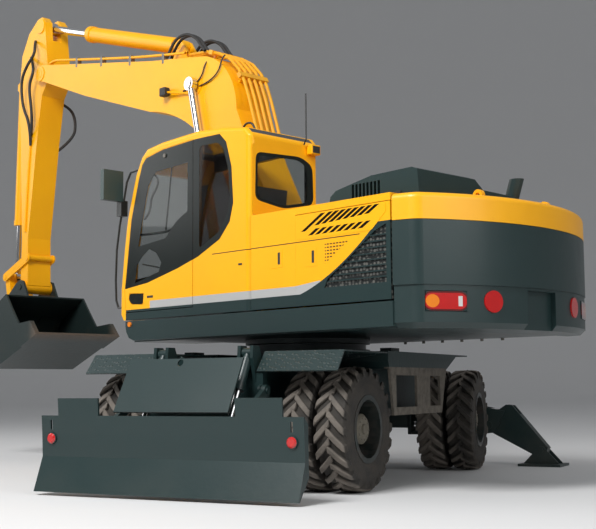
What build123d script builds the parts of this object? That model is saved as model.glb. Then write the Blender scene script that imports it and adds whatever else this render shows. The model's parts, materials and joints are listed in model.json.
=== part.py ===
from build123d import *
import os
from math import atan2, cos, degrees, hypot, radians, sin

# Wheeled excavator of the 21 tonne class, millimetres, +Z up. The machine's origin is on the
# ground under the middle of its bounding box, and +X runs along the boom. Its lower half is
# turned by SWING about the slew axis, so that the dozer blade points off to the left.
SLEW_X = -1450
SLEW_Y = 85
SWING = 108.67

UPPER = Plane(origin=(SLEW_X, SLEW_Y, 0))
LOWER = UPPER.rotated((0, 0, SWING))

FIT = 0.05  # radial play of a pin or spindle in its bore
GAP = 6  # between pieces that move past each other

# Ground gear: X along the lower half towards the blade, Y to its left
WHEELBASE = 2800
FRONT_AXLE_X = 1327
REAR_AXLE_X = FRONT_AXLE_X - WHEELBASE
TYRE_R = 525
TYRE_WIDTH = 280
TWIN_PITCH = 315
TWIN_Y = 957
RIM_R = 254
RIM_FLANGE_R = 284
RIM_FLANGE = 10
RIM_WALL = 10
HUB_R = 135
SPINDLE_R = 60
SPINDLE_REACH = 180
AXLE_TUBE_R = 95
STEER_REST = 9  # the steered wheels stand turned by this much
STEER_LIMIT = 28
KINGPIN_Y = 640
KINGPIN_R = 30
STEER_ARM = 200
BODY_HALF_WIDTH = 1250

# Turntable and decks
FRAME_BOTTOM = 690
FRAME_TOP = 1120
FRAME_HALF_WIDTH = 500
FRAME_NOSE_X = 1840
NOSE_HALF_WIDTH = 430
RING_R = 620
RING_TOP = 1290
SHELF_TOP = 1190
DECK_BOTTOM = 1310
DECK_TOP = 1400
DECK_NOSE_X = 880

# Dozer blade: its arms and links make a parallelogram
BLADE_HALF_WIDTH = BODY_HALF_WIDTH
BLADE_EDGE_X = 2600
BLADE_CREASE = (2490, 315)
BLADE_TOP = 800
BLADE_SHOULDER = 656
BLADE_PLATE = 20
BLADE_ARM_PIVOT = (1950, 600)
BLADE_ARM_TIP = (2365, 345)
BLADE_LINK_RISE = 250
BLADE_ARM_Y = (587, 627)
BLADE_RAM_Y = 420
BLADE_RAM_BASE = (1900, 1165)
BLADE_RAM_PIN = (2225, 575)
BLADE_LOW, BLADE_HIGH = -10, 55

# Outriggers
STAND_X = REAR_AXLE_X - 887
HOUSING_HALF = 92
STAND_PIVOT = (1100, 440)
STAND_RAM_PIN = (1310, 610)
STAND_RAM_BASE = (120, 555)
STAND_FOOT = (1690, 165)
STAND_LIFT = 85
STAND_DROP = 4
PAD_HALF_WIDTH = 235
PAD_SWING = (-15, 70)

# Working equipment, as (x, z) in the upper half's side view
BOOM_FOOT = (20, 1930)
BOOM_TIP = (4762, 4994)
BOOM_RAM_BASE = (840, 1500)
BOOM_RAM_PIN = (1496, 4197)
BOOM_LOW, BOOM_HIGH = -70, 27
BOOM_HALF_WIDTH = 240
BOOM_RAM_Y = 312
ARM_RAM_BASE = (2030, 4800)
ARM_RAM_PIN = (4880, 5680)
ARM_LOW, ARM_HIGH = -26, 80
ARM_HALF_WIDTH = 172
ARM_TIP = (5193, 2216)
ARM_TIP_HALF_WIDTH = 200
BUCKET_RAM_BASE = (5560, 5000)
ROCKER_PIVOT = (5090, 2600)
ROCKER_PIN = (5650, 2380)
BUCKET_LINK_PIN = (5550, 1970)
BUCKET_LOW, BUCKET_HIGH = -50, 95
BUCKET_HALF_WIDTH = 585
BUCKET_PLATE = 20
BUCKET_SIDE = 25

# Upper house
CAB_OUT_Y = BODY_HALF_WIDTH
CAB_IN_Y = CAB_OUT_Y - 860
CAB_FLOOR = 1560
CAB_WALL = 50
CAB_REAR_X = -560
DOOR_GAP = 6
HOUSE_TOP = 2410
HOUSE_REAR_X = -2235
HOUSE_SPLIT_X = -1126
HOUSE_WALL = 40
TAIL_R = 2800
TAIL_BOTTOM = 1330
TAIL_TOP = 2400
TAIL_FRONT_X = -2245


# ---------------------------------------------------------------- drawing helpers
def side(frame, y=0):
    """Plane at y whose first axis is forward and whose second is up."""
    return Plane(frame.from_local_coords((0, y, 0)), x_dir=frame.x_dir, z_dir=-frame.y_dir)


def across(frame, x=0):
    """Plane at x whose first axis is to the left and whose second is up."""
    return Plane(frame.from_local_coords((x, 0, 0)), x_dir=frame.y_dir, z_dir=frame.x_dir)


def level(frame, z=0):
    """Plane at height z whose axes are the frame's own."""
    return frame.offset(z)


def slab_y(frame, points, low, high, mode=Mode.ADD):
    """Plate with an outline in side view, between two values of y."""
    with BuildSketch(side(frame, high)) as outline:
        Polygon(*points)
    extrude(outline.sketch, amount=high - low, dir=-frame.y_dir, mode=mode)


def slab_x(frame, points, low, high, mode=Mode.ADD):
    """Plate with an outline seen from the front, between two values of x."""
    with BuildSketch(across(frame, low)) as outline:
        Polygon(*points)
    extrude(outline.sketch, amount=high - low, dir=frame.x_dir, mode=mode)


def slab_z(frame, points, low, high, mode=Mode.ADD):
    """Plate with an outline in plan, between two heights."""
    with BuildSketch(level(frame, low)) as outline:
        Polygon(*points)
    extrude(outline.sketch, amount=high - low, dir=frame.z_dir, mode=mode)


def block(frame, x, y, z, mode=Mode.ADD):
    """Box between the limits x, y and z, each a (low, high) pair."""
    middle = [(low + high) / 2 for low, high in (x, y, z)]
    sizes = [abs(high - low) for low, high in (x, y, z)]
    with Locations(frame.location * Pos(*middle)):
        Box(*sizes, mode=mode)


def bar_x(frame, y, z, radius, x, mode=Mode.ADD):
    """Round bar along x between the limits x."""
    with Locations(frame.location * Pos(sum(x) / 2, y, z) * Rot(0, 90, 0)):
        Cylinder(radius, abs(x[1] - x[0]), mode=mode)


def bar_y(frame, x, z, radius, y, mode=Mode.ADD):
    """Round bar along y between the limits y."""
    with Locations(frame.location * Pos(x, sum(y) / 2, z) * Rot(90, 0, 0)):
        Cylinder(radius, abs(y[1] - y[0]), mode=mode)


def bar_z(frame, x, y, radius, z, mode=Mode.ADD):
    """Upright round bar between the heights z."""
    with Locations(frame.location * Pos(x, y, sum(z) / 2)):
        Cylinder(radius, abs(z[1] - z[0]), mode=mode)


def both_sides(low, high):
    """The limits of a piece on the left and of its twin on the right."""
    return (low, high), (-high, -low)


def span(side_sign, inner, outer):
    """Limits of a piece on one side, from its distances off the middle."""
    return tuple(sorted((side_sign * inner, side_sign * outer)))


def mirrored(points):
    """A plan or front outline with its first or second axis turned over at zero."""
    return [(x, -y) for x, y in points]


# ---------------------------------------------------------------- linkages
RAM_NECK = 1.5  # where a barrel, its bore and its gland start and end, in eye radii
RAM_BORE = 1.8
RAM_CLOSED = 1.6
RAM_SPARE = 0.08  # bore left behind a rod that is fully in, as a share of its stroke


def swung(point, pivot, angle):
    """Where a point of a side view comes when it turns about a pivot."""
    turn = radians(angle)
    dx, dz = point[0] - pivot[0], point[1] - pivot[1]
    return (
        pivot[0] + dx * cos(turn) - dz * sin(turn),
        pivot[1] + dx * sin(turn) + dz * cos(turn),
    )


def distance(start, end):
    return hypot(end[0] - start[0], end[1] - start[1])


def slope(start, end):
    return degrees(atan2(end[1] - start[1], end[0] - start[0]))


def ram_lengths(base, pin, pivot, low, high):
    """Pin distances of a ram at rest and at its shortest and longest."""
    ends = [distance(base, swung(pin, pivot, angle)) for angle in (low, 0, high)]
    return ends[1], min(ends), max(ends)


def ram_plane(view, base, pin):
    """Plane of a ram: its origin on the base pin and its first axis along the rod."""
    start = view.from_local_coords((*base, 0))
    end = view.from_local_coords((*pin, 0))
    return Plane(start, x_dir=end - start, z_dir=view.z_dir)


def turned(plane, start, end, radius, mode=Mode.ADD):
    """Round bar along the plane's first axis."""
    with Locations(plane.location * Pos((start + end) / 2, 0, 0) * Rot(0, 90, 0)):
        Cylinder(radius, end - start, mode=mode)


def cross_pin(plane, x, y, radius, width, mode=Mode.ADD):
    """Round bar through the plane, centred on it."""
    with Locations(plane.location * Pos(x, y, 0)):
        Cylinder(radius, width, mode=mode)


def ram_barrel(plane, lengths, radius, rod_radius, eye_radius, eye_width, pin_radius):
    """Barrel with its base eye, its gland and the bore that the rod slides in."""
    rest, shortest, longest = lengths
    gland = shortest - RAM_CLOSED * eye_radius
    turned(plane, 0.5 * eye_radius, RAM_NECK * eye_radius, 0.42 * eye_width)
    turned(plane, RAM_NECK * eye_radius, gland, radius)
    turned(plane, gland - 0.9 * radius, gland, 1.1 * radius)
    cross_pin(plane, 0, 0, eye_radius, eye_width)
    turned(plane, RAM_BORE * eye_radius, gland + 1, rod_radius + FIT, Mode.SUBTRACT)
    cross_pin(plane, 0, 0, pin_radius + FIT, eye_width + 2, Mode.SUBTRACT)


def ram_rod(plane, lengths, rod_radius, eye_radius, eye_width, pin_radius, pin_width):
    """Chromed rod with its eye; the pin in the eye ends just inside the ears."""
    rest, shortest, longest = lengths
    spare = RAM_SPARE * (longest - shortest)
    inner_end = RAM_BORE * eye_radius + spare + rest - shortest
    turned(plane, inner_end, rest - 0.7 * eye_radius, rod_radius)
    cross_pin(plane, rest, 0, eye_radius, eye_width)
    cross_pin(plane, rest, 0, pin_radius, pin_width)


def keep(part, name):
    """Label a finished piece and write its file."""
    part.label = name
    export_step(part, f"parts/{name}.step")
    return part


os.makedirs("parts", exist_ok=True)


# ---------------------------------------------------------------- wheels
def wheel_plane(frame, side_sign):
    """Plane at the middle of a twin wheel, its third axis pointing outwards."""
    return Plane(
        frame.from_local_coords((0, side_sign * TWIN_Y, TYRE_R)),
        x_dir=frame.x_dir,
        z_dir=frame.y_dir * side_sign,
    )


WHEEL_SIDES = 22  # flats round a tyre, one of them on the ground
CARCASS_R = 505
LUG_WIDTH, LUG_LENGTH, LUG_LEAN = 62, 132, 24
LUG_FOOT_R = 478
LUG_ROW = 60  # a row's distance from the middle of the tread
HUB_REACH = 190


def drum(plane, ends, sides=WHEEL_SIDES, mode=Mode.ADD):
    """Many-sided drum through (distance along the axis, radius) ends."""
    for stretch in zip(ends, ends[1:]):
        sections = []
        for along, radius in stretch:
            with BuildSketch(plane.offset(along)) as section:
                RegularPolygon(radius, sides)
            sections.append(section.sketch)
        loft(sections, ruled=True, mode=mode)


# One tyre about the third axis: carcass, bore and two staggered rows of leaning lugs
with BuildPart() as tyre:
    drum(Plane.XY, [(-140, 400), (-118, CARCASS_R), (118, CARCASS_R), (140, 400)])
    # the side walls lean in towards the beads
    for edge in (-1, 1):
        drum(Plane.XY, [(edge * 123, 288), (edge * 141, 406.6)], mode=Mode.SUBTRACT)
    drum(Plane.XY, [(-150, RIM_R + 2), (150, RIM_R + 2)], mode=Mode.SUBTRACT)
    for step in range(WHEEL_SIDES):
        row = 1 if step % 2 else -1
        flat = Rot(0, 0, (step + 0.5) * 360 / WHEEL_SIDES) * Pos((LUG_FOOT_R + TYRE_R) / 2, 0, row * LUG_ROW)
        with Locations(flat * Rot(row * LUG_LEAN, 0, 0)):
            Box(TYRE_R - LUG_FOOT_R, LUG_WIDTH, LUG_LENGTH)

# Both rims of a twin wheel with their flanges, the disc between them and the hub
RIM_REACH = TWIN_PITCH / 2 + 0.97 * TYRE_WIDTH / 2
with BuildPart() as rim_pair:
    drum(Plane.XY, [(-RIM_REACH, RIM_R + 1.5), (RIM_REACH, RIM_R + 1.5)])
    for middle in (-TWIN_PITCH / 2, TWIN_PITCH / 2):
        for edge in (-1, 1):
            root = middle + edge * 0.89 * TYRE_WIDTH / 2
            drum(Plane.XY, sorted([(root, RIM_FLANGE_R + 2), (root + edge * RIM_FLANGE, RIM_FLANGE_R + 2)]))
    inner_r = RIM_R - RIM_WALL
    drum(Plane.XY, [(-RIM_REACH - 1, inner_r), (RIM_REACH + 1, inner_r)], mode=Mode.SUBTRACT)
    drum(Plane.XY, [(-12, RIM_R), (12, RIM_R)])
    drum(Plane.XY, [(-HUB_REACH, HUB_R + 20), (-5, HUB_R + 20)])
    drum(Plane.XY, [(5, HUB_R), (165, HUB_R), (HUB_REACH, 0.75 * HUB_R)])
    bore_end = SPINDLE_REACH - HUB_REACH + 10
    with Locations((0, 0, (bore_end - HUB_REACH - 1) / 2)):
        Cylinder(SPINDLE_R + FIT, bore_end + HUB_REACH + 1, mode=Mode.SUBTRACT)


def tyres(plane, name):
    with BuildPart() as pair:
        for middle in (-TWIN_PITCH / 2, TWIN_PITCH / 2):
            add(tyre.part.moved(plane.location * Pos(0, 0, middle)))
    return keep(pair.part, name)


def rims(plane, name):
    with BuildPart() as wheel:
        add(rim_pair.part.moved(plane.location))
    return keep(wheel.part, name)


def knuckle_frame(side_sign):
    """Frame of a steered wheel: the axle's own, turned about its kingpin."""
    pin = LOWER.from_local_coords((REAR_AXLE_X, side_sign * KINGPIN_Y, 0))
    turned_axes = Plane(pin).rotated((0, 0, SWING + STEER_REST))
    return Plane(
        turned_axes.from_local_coords((0, -side_sign * KINGPIN_Y, 0)), turned_axes.x_dir
    )


FRONT_AXLE = Plane(LOWER.from_local_coords((FRONT_AXLE_X, 0, 0)), LOWER.x_dir)
SIDES = {"left": 1, "right": -1}
for side_name, side_sign in SIDES.items():
    fixed_wheel = wheel_plane(FRONT_AXLE, side_sign)
    steered_wheel = wheel_plane(knuckle_frame(side_sign), side_sign)
    tyres(fixed_wheel, f"tyres_front_{side_name}")
    rims(fixed_wheel, f"rims_front_{side_name}")
    tyres(steered_wheel, f"tyres_rear_{side_name}")
    rims(steered_wheel, f"rims_rear_{side_name}")

# ---------------------------------------------------------------- axles
HUB_INNER_Y = TWIN_Y - 190
with BuildPart() as fixed_axle:
    bar_y(FRONT_AXLE, 0, TYRE_R, AXLE_TUBE_R, (-HUB_INNER_Y + GAP, HUB_INNER_Y - GAP))
    bar_y(FRONT_AXLE, 0, TYRE_R, 150, (-160, 160))
    differential = Plane(FRONT_AXLE.from_local_coords((0, 0, TYRE_R)), FRONT_AXLE.x_dir, FRONT_AXLE.y_dir)
    drum(differential, [(-170, 110), (-95, 185), (95, 185), (170, 110)], sides=16)
    block(FRONT_AXLE, (-330, -100), (-130, 130), (TYRE_R - 110, TYRE_R + 110))
    for low, high in both_sides(300, 440):
        block(FRONT_AXLE, (-90, 90), (low, high), (TYRE_R, FRAME_BOTTOM))
    for low, high in both_sides(HUB_INNER_Y - GAP, HUB_INNER_Y + SPINDLE_REACH):
        bar_y(FRONT_AXLE, 0, TYRE_R, SPINDLE_R, (low, high))
keep(fixed_axle.part, "fixed_axle")

REAR_AXLE = Plane(LOWER.from_local_coords((REAR_AXLE_X, 0, 0)), LOWER.x_dir)
FORK_INNER_Y = KINGPIN_Y - 150
FORK_Z = (TYRE_R - 160, TYRE_R + 160)
FORK_PLATE = 35
ROD_SHIFT = -STEER_ARM * sin(radians(STEER_REST))
ROD_REACH = 470
ROD_R = 24
ROD_END_HALF = 32
STEER_ARM_Z = (TYRE_R - ROD_END_HALF - GAP - 30, TYRE_R - ROD_END_HALF - GAP)
TRUNNION_R = 55
TRUNNION_X = (275, 335)  # where the chassis holds the axle's trunnion, each side of it
with BuildPart() as steer_axle:
    block(REAR_AXLE, (-85, 85), (-FORK_INNER_Y, FORK_INNER_Y), (TYRE_R - 90, TYRE_R + 90))
    bar_x(REAR_AXLE, 0, TYRE_R + 60, 90, (-TRUNNION_X[0] + GAP, TRUNNION_X[0] - GAP))
    bar_x(REAR_AXLE, 0, TYRE_R + 60, TRUNNION_R, (-TRUNNION_X[1], TRUNNION_X[1]))
    for low, high in both_sides(FORK_INNER_Y - 5, FORK_INNER_Y + 35):
        block(REAR_AXLE, (-75, 75), (low, high), FORK_Z)
    for low, high in both_sides(FORK_INNER_Y + 30, KINGPIN_Y + 60):
        for z in ((FORK_Z[0], FORK_Z[0] + FORK_PLATE), (FORK_Z[1] - FORK_PLATE, FORK_Z[1])):
            block(REAR_AXLE, (-65, 65), (low, high), z)
    for side_sign in SIDES.values():
        bar_z(REAR_AXLE, 0, side_sign * KINGPIN_Y, KINGPIN_R, (FORK_Z[0] - 12, FORK_Z[1] + 12))
    bar_y(REAR_AXLE, -STEER_ARM, TYRE_R, 55, (-230, 230))
    block(REAR_AXLE, (-STEER_ARM, -60), (-60, 60), (TYRE_R - 50, TYRE_R + 50))
    bar_y(REAR_AXLE, -STEER_ARM, TYRE_R, ROD_R + FIT, (-232, 232), Mode.SUBTRACT)
    # room for the steering arms at full lock
    for low, high in both_sides(380, FORK_INNER_Y + 36):
        block(REAR_AXLE, (-90, -10), (low, high), (STEER_ARM_Z[0] - 10, STEER_ARM_Z[1] + 10), Mode.SUBTRACT)
keep(steer_axle.part, "steer_axle")

with BuildPart() as steering_rod:
    bar_y(REAR_AXLE, -STEER_ARM, TYRE_R, ROD_R, (ROD_SHIFT - ROD_REACH, ROD_SHIFT + ROD_REACH))
    for end in (-1, 1):
        bar_z(
            REAR_AXLE,
            -STEER_ARM,
            ROD_SHIFT + end * (ROD_REACH + 20),
            38,
            (TYRE_R - ROD_END_HALF, TYRE_R + ROD_END_HALF),
        )
keep(steering_rod.part, "steering_rod")


def knuckle(side_sign, name):
    """Steered end: the head between the fork's plates, its spindle and its steering arm."""
    frame = knuckle_frame(side_sign)
    head_z = (FORK_Z[0] + FORK_PLATE + GAP, FORK_Z[1] - FORK_PLATE - GAP)
    with BuildPart() as steered:
        block(frame, (-65, 65), span(side_sign, KINGPIN_Y - 70, HUB_INNER_Y - GAP), head_z)
        inner, outer = HUB_INNER_Y - GAP, HUB_INNER_Y + SPINDLE_REACH
        bar_y(frame, 0, TYRE_R, SPINDLE_R, (side_sign * inner, side_sign * outer))
        arm_tip_y = side_sign * (ROD_REACH + 20)
        slab_z(
            frame,
            [
                (-STEER_ARM - 45, arm_tip_y - 45),
                (-STEER_ARM - 45, arm_tip_y + 45),
                (-40, side_sign * KINGPIN_Y + 60),
                (-40, side_sign * KINGPIN_Y - 60),
            ],
            *STEER_ARM_Z,
        )
        bar_z(frame, 0, side_sign * KINGPIN_Y, KINGPIN_R + FIT, head_z, Mode.SUBTRACT)
    return keep(steered.part, name)


for side_name, side_sign in SIDES.items():
    knuckle(side_sign, f"knuckle_{side_name}")

# ---------------------------------------------------------------- chassis
FRAME_PLAN = [(FRAME_NOSE_X, NOSE_HALF_WIDTH), (700, NOSE_HALF_WIDTH), (500, FRAME_HALF_WIDTH)]
FRAME_PLAN += [(-500, FRAME_HALF_WIDTH), (-820, 330), (STAND_X + HOUSING_HALF, 330)]
FRAME_HOLLOW_X = (-600, 1600)
BEAM_Z = (540, 1000)
with BuildPart() as chassis_frame:
    slab_z(LOWER, FRAME_PLAN + mirrored(FRAME_PLAN)[::-1], FRAME_BOTTOM, FRAME_TOP)
    block(LOWER, FRAME_HOLLOW_X, (-300, 300), (0, FRAME_TOP - 40), Mode.SUBTRACT)
    for low, high in both_sides(250, 280):
        block(LOWER, FRAME_HOLLOW_X, (low, high), (FRAME_BOTTOM, FRAME_TOP))
    bar_z(LOWER, 0, 0, FRAME_HALF_WIDTH - 5, (FRAME_TOP, SHELF_TOP + 2))
    bar_z(LOWER, 0, 0, RING_R, (SHELF_TOP + 2, RING_TOP - 50))
    bar_z(LOWER, 0, 0, RING_R - 40, (RING_TOP - 50, RING_TOP))
    block(LOWER, (FRAME_NOSE_X, BLADE_ARM_PIVOT[0] - 45), (-560, 560), BEAM_Z)
    for low, high in both_sides(BLADE_ARM_Y[0] - GAP - 22, BLADE_ARM_Y[0] - GAP):
        for rise in (0, BLADE_LINK_RISE):
            bar_y(LOWER, BLADE_ARM_PIVOT[0], BLADE_ARM_PIVOT[1] + rise, 52, (low, high))
            height = (BLADE_ARM_PIVOT[1] + rise - 52, BLADE_ARM_PIVOT[1] + rise + 52)
            block(LOWER, (BLADE_ARM_PIVOT[0] - 80, BLADE_ARM_PIVOT[0]), (low, high), height)
    for low, high in both_sides(BLADE_ARM_Y[0] - GAP - 22, BLADE_ARM_Y[1] + 12):
        for rise in (0, BLADE_LINK_RISE):
            bar_y(LOWER, BLADE_ARM_PIVOT[0], BLADE_ARM_PIVOT[1] + rise, 28, (low, high))
    for centre in (-BLADE_RAM_Y, BLADE_RAM_Y):
        for low, high in ((centre - 75, centre - 46), (centre + 46, centre + 75)):
            slab_y(
                LOWER,
                [(1800, 900), (1800, 1120), (1850, 1225), (1950, 1225), (1960, 1120), (1900, 900)],
                low,
                high,
            )
        bar_y(LOWER, *BLADE_RAM_BASE, 28, (centre - 76, centre + 76))
    for x in both_sides(*TRUNNION_X):
        block(REAR_AXLE, x, (-160, 160), (TYRE_R - 40, FRAME_BOTTOM + 10))
        bar_x(REAR_AXLE, 0, TYRE_R + 60, TRUNNION_R + FIT, x, Mode.SUBTRACT)
keep(chassis_frame.part, "chassis_frame")

GUARD_TOP, GUARD_FOOT = (2205, 1120), (2450, 687)
with BuildPart() as blade_guard:
    slab_y(
        LOWER,
        [GUARD_FOOT, GUARD_TOP, (GUARD_TOP[0] - 14, GUARD_TOP[1] - 8), (GUARD_FOOT[0] - 14, 679)],
        -550,
        550,
    )
    for low, high in both_sides(300, 315):
        slab_y(LOWER, [(1905, 900), (1960, 1090), (2200, 1105), (2350, 840)], low, high)
    bar_x(LOWER, -40, 1085, 28, (2150, 2300), Mode.SUBTRACT)
keep(blade_guard.part, "blade_guard")

TIE_EYE_Y = 220
TIE_EYE_R = 28
TIE_EYE_HALF = 18
TIE_EYE_REACH = 60
HOUSING = [(-1290, 600), (-700, 705), (700, 705), (1290, 600), (1180, 360), (1020, 340), (330, 500)]
HOUSING += [(-330, 500), (-1020, 340), (-1180, 360)]
with BuildPart() as outrigger_frame:
    slab_x(LOWER, HOUSING, STAND_X - HOUSING_HALF, STAND_X + HOUSING_HALF)
    inner = (STAND_X - HOUSING_HALF + 16, STAND_X + HOUSING_HALF - 16)
    block(LOWER, inner, (-1400, 1400), (200, 690), Mode.SUBTRACT)
    for low, high in both_sides(540, 1400):
        block(LOWER, inner, (low, high), (600, 800), Mode.SUBTRACT)
    for y in (-TIE_EYE_Y, TIE_EYE_Y):
        eye_x = STAND_X - HOUSING_HALF - TIE_EYE_REACH
        slab_y(
            LOWER,
            [(eye_x - 50, 560), (eye_x - 50, 640), (eye_x + 90, 690), (eye_x + 90, 510)],
            y - TIE_EYE_HALF,
            y + TIE_EYE_HALF,
        )
        bar_y(LOWER, eye_x, 600, TIE_EYE_R, (y - TIE_EYE_HALF - 1, y + TIE_EYE_HALF + 1), Mode.SUBTRACT)
    for side_sign in SIDES.values():
        bar_x(
            LOWER,
            side_sign * STAND_PIVOT[0],
            STAND_PIVOT[1],
            45,
            (STAND_X - HOUSING_HALF - 10, STAND_X + HOUSING_HALF + 10),
        )
        bar_x(
            LOWER,
            side_sign * STAND_RAM_BASE[0],
            STAND_RAM_BASE[1],
            25,
            (STAND_X - HOUSING_HALF, STAND_X + HOUSING_HALF),
        )
keep(outrigger_frame.part, "outrigger_frame")

LEG_HALF = 62
LEG_SLOT_HALF = 32


def stand_view(side_sign):
    """View of one outrigger: first axis outwards, second up."""
    return Plane(
        LOWER.from_local_coords((STAND_X, 0, 0)),
        x_dir=LOWER.y_dir * side_sign,
        z_dir=LOWER.x_dir * side_sign,
    )


def outrigger(side_sign, side_name):
    """Leg, pad and ram of one outrigger."""
    view = stand_view(side_sign)
    outline = [(1045, 400), (1060, 500), (1255, 640), (1300, 668), (1370, 660), (1760, 200), (1720, 105)]
    outline += [(1640, 100)]
    with BuildPart() as leg:
        with BuildSketch(view) as plate:
            Polygon(*outline)
        extrude(plate.sketch, amount=LEG_HALF, both=True)
        with BuildSketch(view) as slot:
            Polygon((900, 530), (900, 800), (1450, 800), (1450, 535), (1260, 530))
        extrude(slot.sketch, amount=LEG_SLOT_HALF, both=True, mode=Mode.SUBTRACT)
        cross_pin(view, *STAND_FOOT, 62, 2 * LEG_HALF)
        cross_pin(view, *STAND_PIVOT, 80, 2 * LEG_HALF)
        cross_pin(view, *STAND_PIVOT, 45 + FIT, 2 * LEG_HALF + 2, Mode.SUBTRACT)
        cross_pin(view, *STAND_FOOT, 24 + FIT, 2 * LEG_HALF + 2, Mode.SUBTRACT)
    keep(leg.part, f"outrigger_leg_{side_name}")

    lengths = ram_lengths(STAND_RAM_BASE, STAND_RAM_PIN, STAND_PIVOT, -STAND_DROP, STAND_LIFT)
    plane = ram_plane(view, STAND_RAM_BASE, STAND_RAM_PIN)
    with BuildPart() as barrel:
        ram_barrel(plane, lengths, 50, 27, 48, 52, 25)
    keep(barrel.part, f"outrigger_barrel_{side_name}")
    with BuildPart() as rod:
        ram_rod(plane, lengths, 27, 42, 50, 22, 58)
    keep(rod.part, f"outrigger_rod_{side_name}")

    foot_x, foot_z = STAND_FOOT
    with BuildPart() as pad:
        with BuildSketch(view) as plate:
            with Locations((foot_x, 14)):
                Rectangle(2 * PAD_HALF_WIDTH, 26)
        extrude(plate.sketch, amount=190, both=True)
        for low, high in both_sides(LEG_HALF + GAP, LEG_HALF + GAP + 18):
            with BuildSketch(view.offset(low)) as lug:
                Polygon(
                    (foot_x - 200, 26),
                    (foot_x - 50, foot_z + 20),
                    (foot_x - 25, foot_z + 50),
                    (foot_x + 25, foot_z + 50),
                    (foot_x + 50, foot_z + 20),
                    (foot_x + 200, 26),
                )
            extrude(lug.sketch, amount=high - low, dir=view.z_dir)
        cross_pin(view, foot_x, foot_z, 24, 2 * (LEG_HALF + GAP + 24))
    keep(pad.part, f"outrigger_pad_{side_name}")


for side_name, side_sign in SIDES.items():
    outrigger(side_sign, side_name)

# ---------------------------------------------------------------- fenders and steps
FENDER_TOP = [(1925, 1012), (1785, 1180), (905, 1180), (905, 1168), (1779, 1168), (1915, 1004)]
STEP_FRAME = [(865, 1040), (855, 1030), (775, 625), (-410, 625), (-545, 1030), (-545, 1040)]
STEP_WINDOWS = [((225, 720), (694, 978)), ((-376, -108), (694, 978))]
STEP_BACK_Y = 1000
SHELF = [(870, 1036), (895, 1100), (895, SHELF_TOP), (-1175, SHELF_TOP), (-1175, 1178), (-840, 1172), (-545, 1036)]
with BuildPart() as front_fenders:
    for low, high in both_sides(510, BODY_HALF_WIDTH):
        slab_y(LOWER, FENDER_TOP, low, high)
    for side_sign in SIDES.values():
        for x in (1000, 1500):
            corner = [(NOSE_HALF_WIDTH, 1060), (NOSE_HALF_WIDTH, 1118), (520, 1168), (1180, 1168)]
            corner += [(1180, 1155)]
            slab_x(LOWER, [(side_sign * y, z) for y, z in corner], x, x + 14)
keep(front_fenders.part, "front_fenders")

with BuildPart() as side_steps:
    for side_sign in SIDES.values():
        # the outer frame with its two windows, the foot plate and the box behind
        frame_y = span(side_sign, BODY_HALF_WIDTH - 25, BODY_HALF_WIDTH)
        slab_y(LOWER, STEP_FRAME, *frame_y)
        for x, z in STEP_WINDOWS:
            block(LOWER, x, (frame_y[0] - 5, frame_y[1] + 5), z, Mode.SUBTRACT)
        slab_y(LOWER, SHELF, *span(side_sign, 500, BODY_HALF_WIDTH))
        block(LOWER, (-405, 770), span(side_sign, STEP_BACK_Y, BODY_HALF_WIDTH), (625, 650))
        box_y = span(side_sign, 560, STEP_BACK_Y)
        slab_y(LOWER, [(840, 1036), (760, 640), (-380, 640), (-520, 1036)], *box_y)
        hollow_y = span(side_sign, 590, STEP_BACK_Y - 30)
        slab_y(LOWER, [(800, 1000), (730, 670), (-350, 670), (-480, 1000)], *hollow_y, Mode.SUBTRACT)
        # a locker on the shelf
        block(LOWER, (330, 520), span(side_sign, 1010, 1120), (SHELF_TOP - 2, SHELF_TOP + 40))
keep(side_steps.part, "side_steps")

# ---------------------------------------------------------------- dozer blade
BLADE_FRONT = [(BLADE_EDGE_X, 30), BLADE_CREASE, (2500, 500), (2525, BLADE_TOP)]
BLADE_BACK = [(x - BLADE_PLATE, z) for x, z in reversed(BLADE_FRONT)]
BLADE_LAMP_Y, BLADE_LAMP_Z = BLADE_HALF_WIDTH - 105, 465
with BuildPart() as blade:
    slab_y(LOWER, BLADE_FRONT + BLADE_BACK, -BLADE_HALF_WIDTH, BLADE_HALF_WIDTH)
    for low, high in both_sides(1070, BLADE_HALF_WIDTH + 1):
        block(LOWER, (2400, 2700), (low, high), (BLADE_SHOULDER, BLADE_TOP + 1), Mode.SUBTRACT)
    block(LOWER, (2400, 2700), (-655, 655), (BLADE_SHOULDER, BLADE_TOP + 1), Mode.SUBTRACT)
    for low, high in both_sides(BLADE_HALF_WIDTH - 20, BLADE_HALF_WIDTH):
        slab_y(LOWER, [(2580, 30), (2480, 315), (2490, 500), (2500, 650), (2440, 600), (2430, 200)], low, high)
    slab_y(LOWER, [(2490, 280), (2490, 440), (2425, 420), (2425, 300)], -1230, 1230)
    for y in (-BLADE_LAMP_Y, BLADE_LAMP_Y):
        bar_x(LOWER, y, BLADE_LAMP_Z, 50, (2470, 2510))
        block(LOWER, (2400, 2700), (y - 10, y + 10), (BLADE_LAMP_Z + 75, BLADE_LAMP_Z + 155), Mode.SUBTRACT)
    for low, high in both_sides(BLADE_ARM_Y[1] + GAP, BLADE_ARM_Y[1] + GAP + 24):
        tip_x, tip_z = BLADE_ARM_TIP
        slab_y(
            LOWER,
            [
                (tip_x + 100, tip_z - 90),
                (tip_x - 20, tip_z - 50),
                (tip_x - 50, tip_z),
                (tip_x - 50, tip_z + BLADE_LINK_RISE),
                (tip_x - 20, tip_z + BLADE_LINK_RISE + 45),
                (tip_x + 105, tip_z + BLADE_LINK_RISE + 45),
            ],
            low,
            high,
        )
    for low, high in both_sides(BLADE_ARM_Y[0] - 6, BLADE_ARM_Y[1] + GAP + 24):
        for rise in (0, BLADE_LINK_RISE):
            bar_y(LOWER, tip_x, tip_z + rise, 26, (low, high))
keep(blade.part, "blade")


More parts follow.
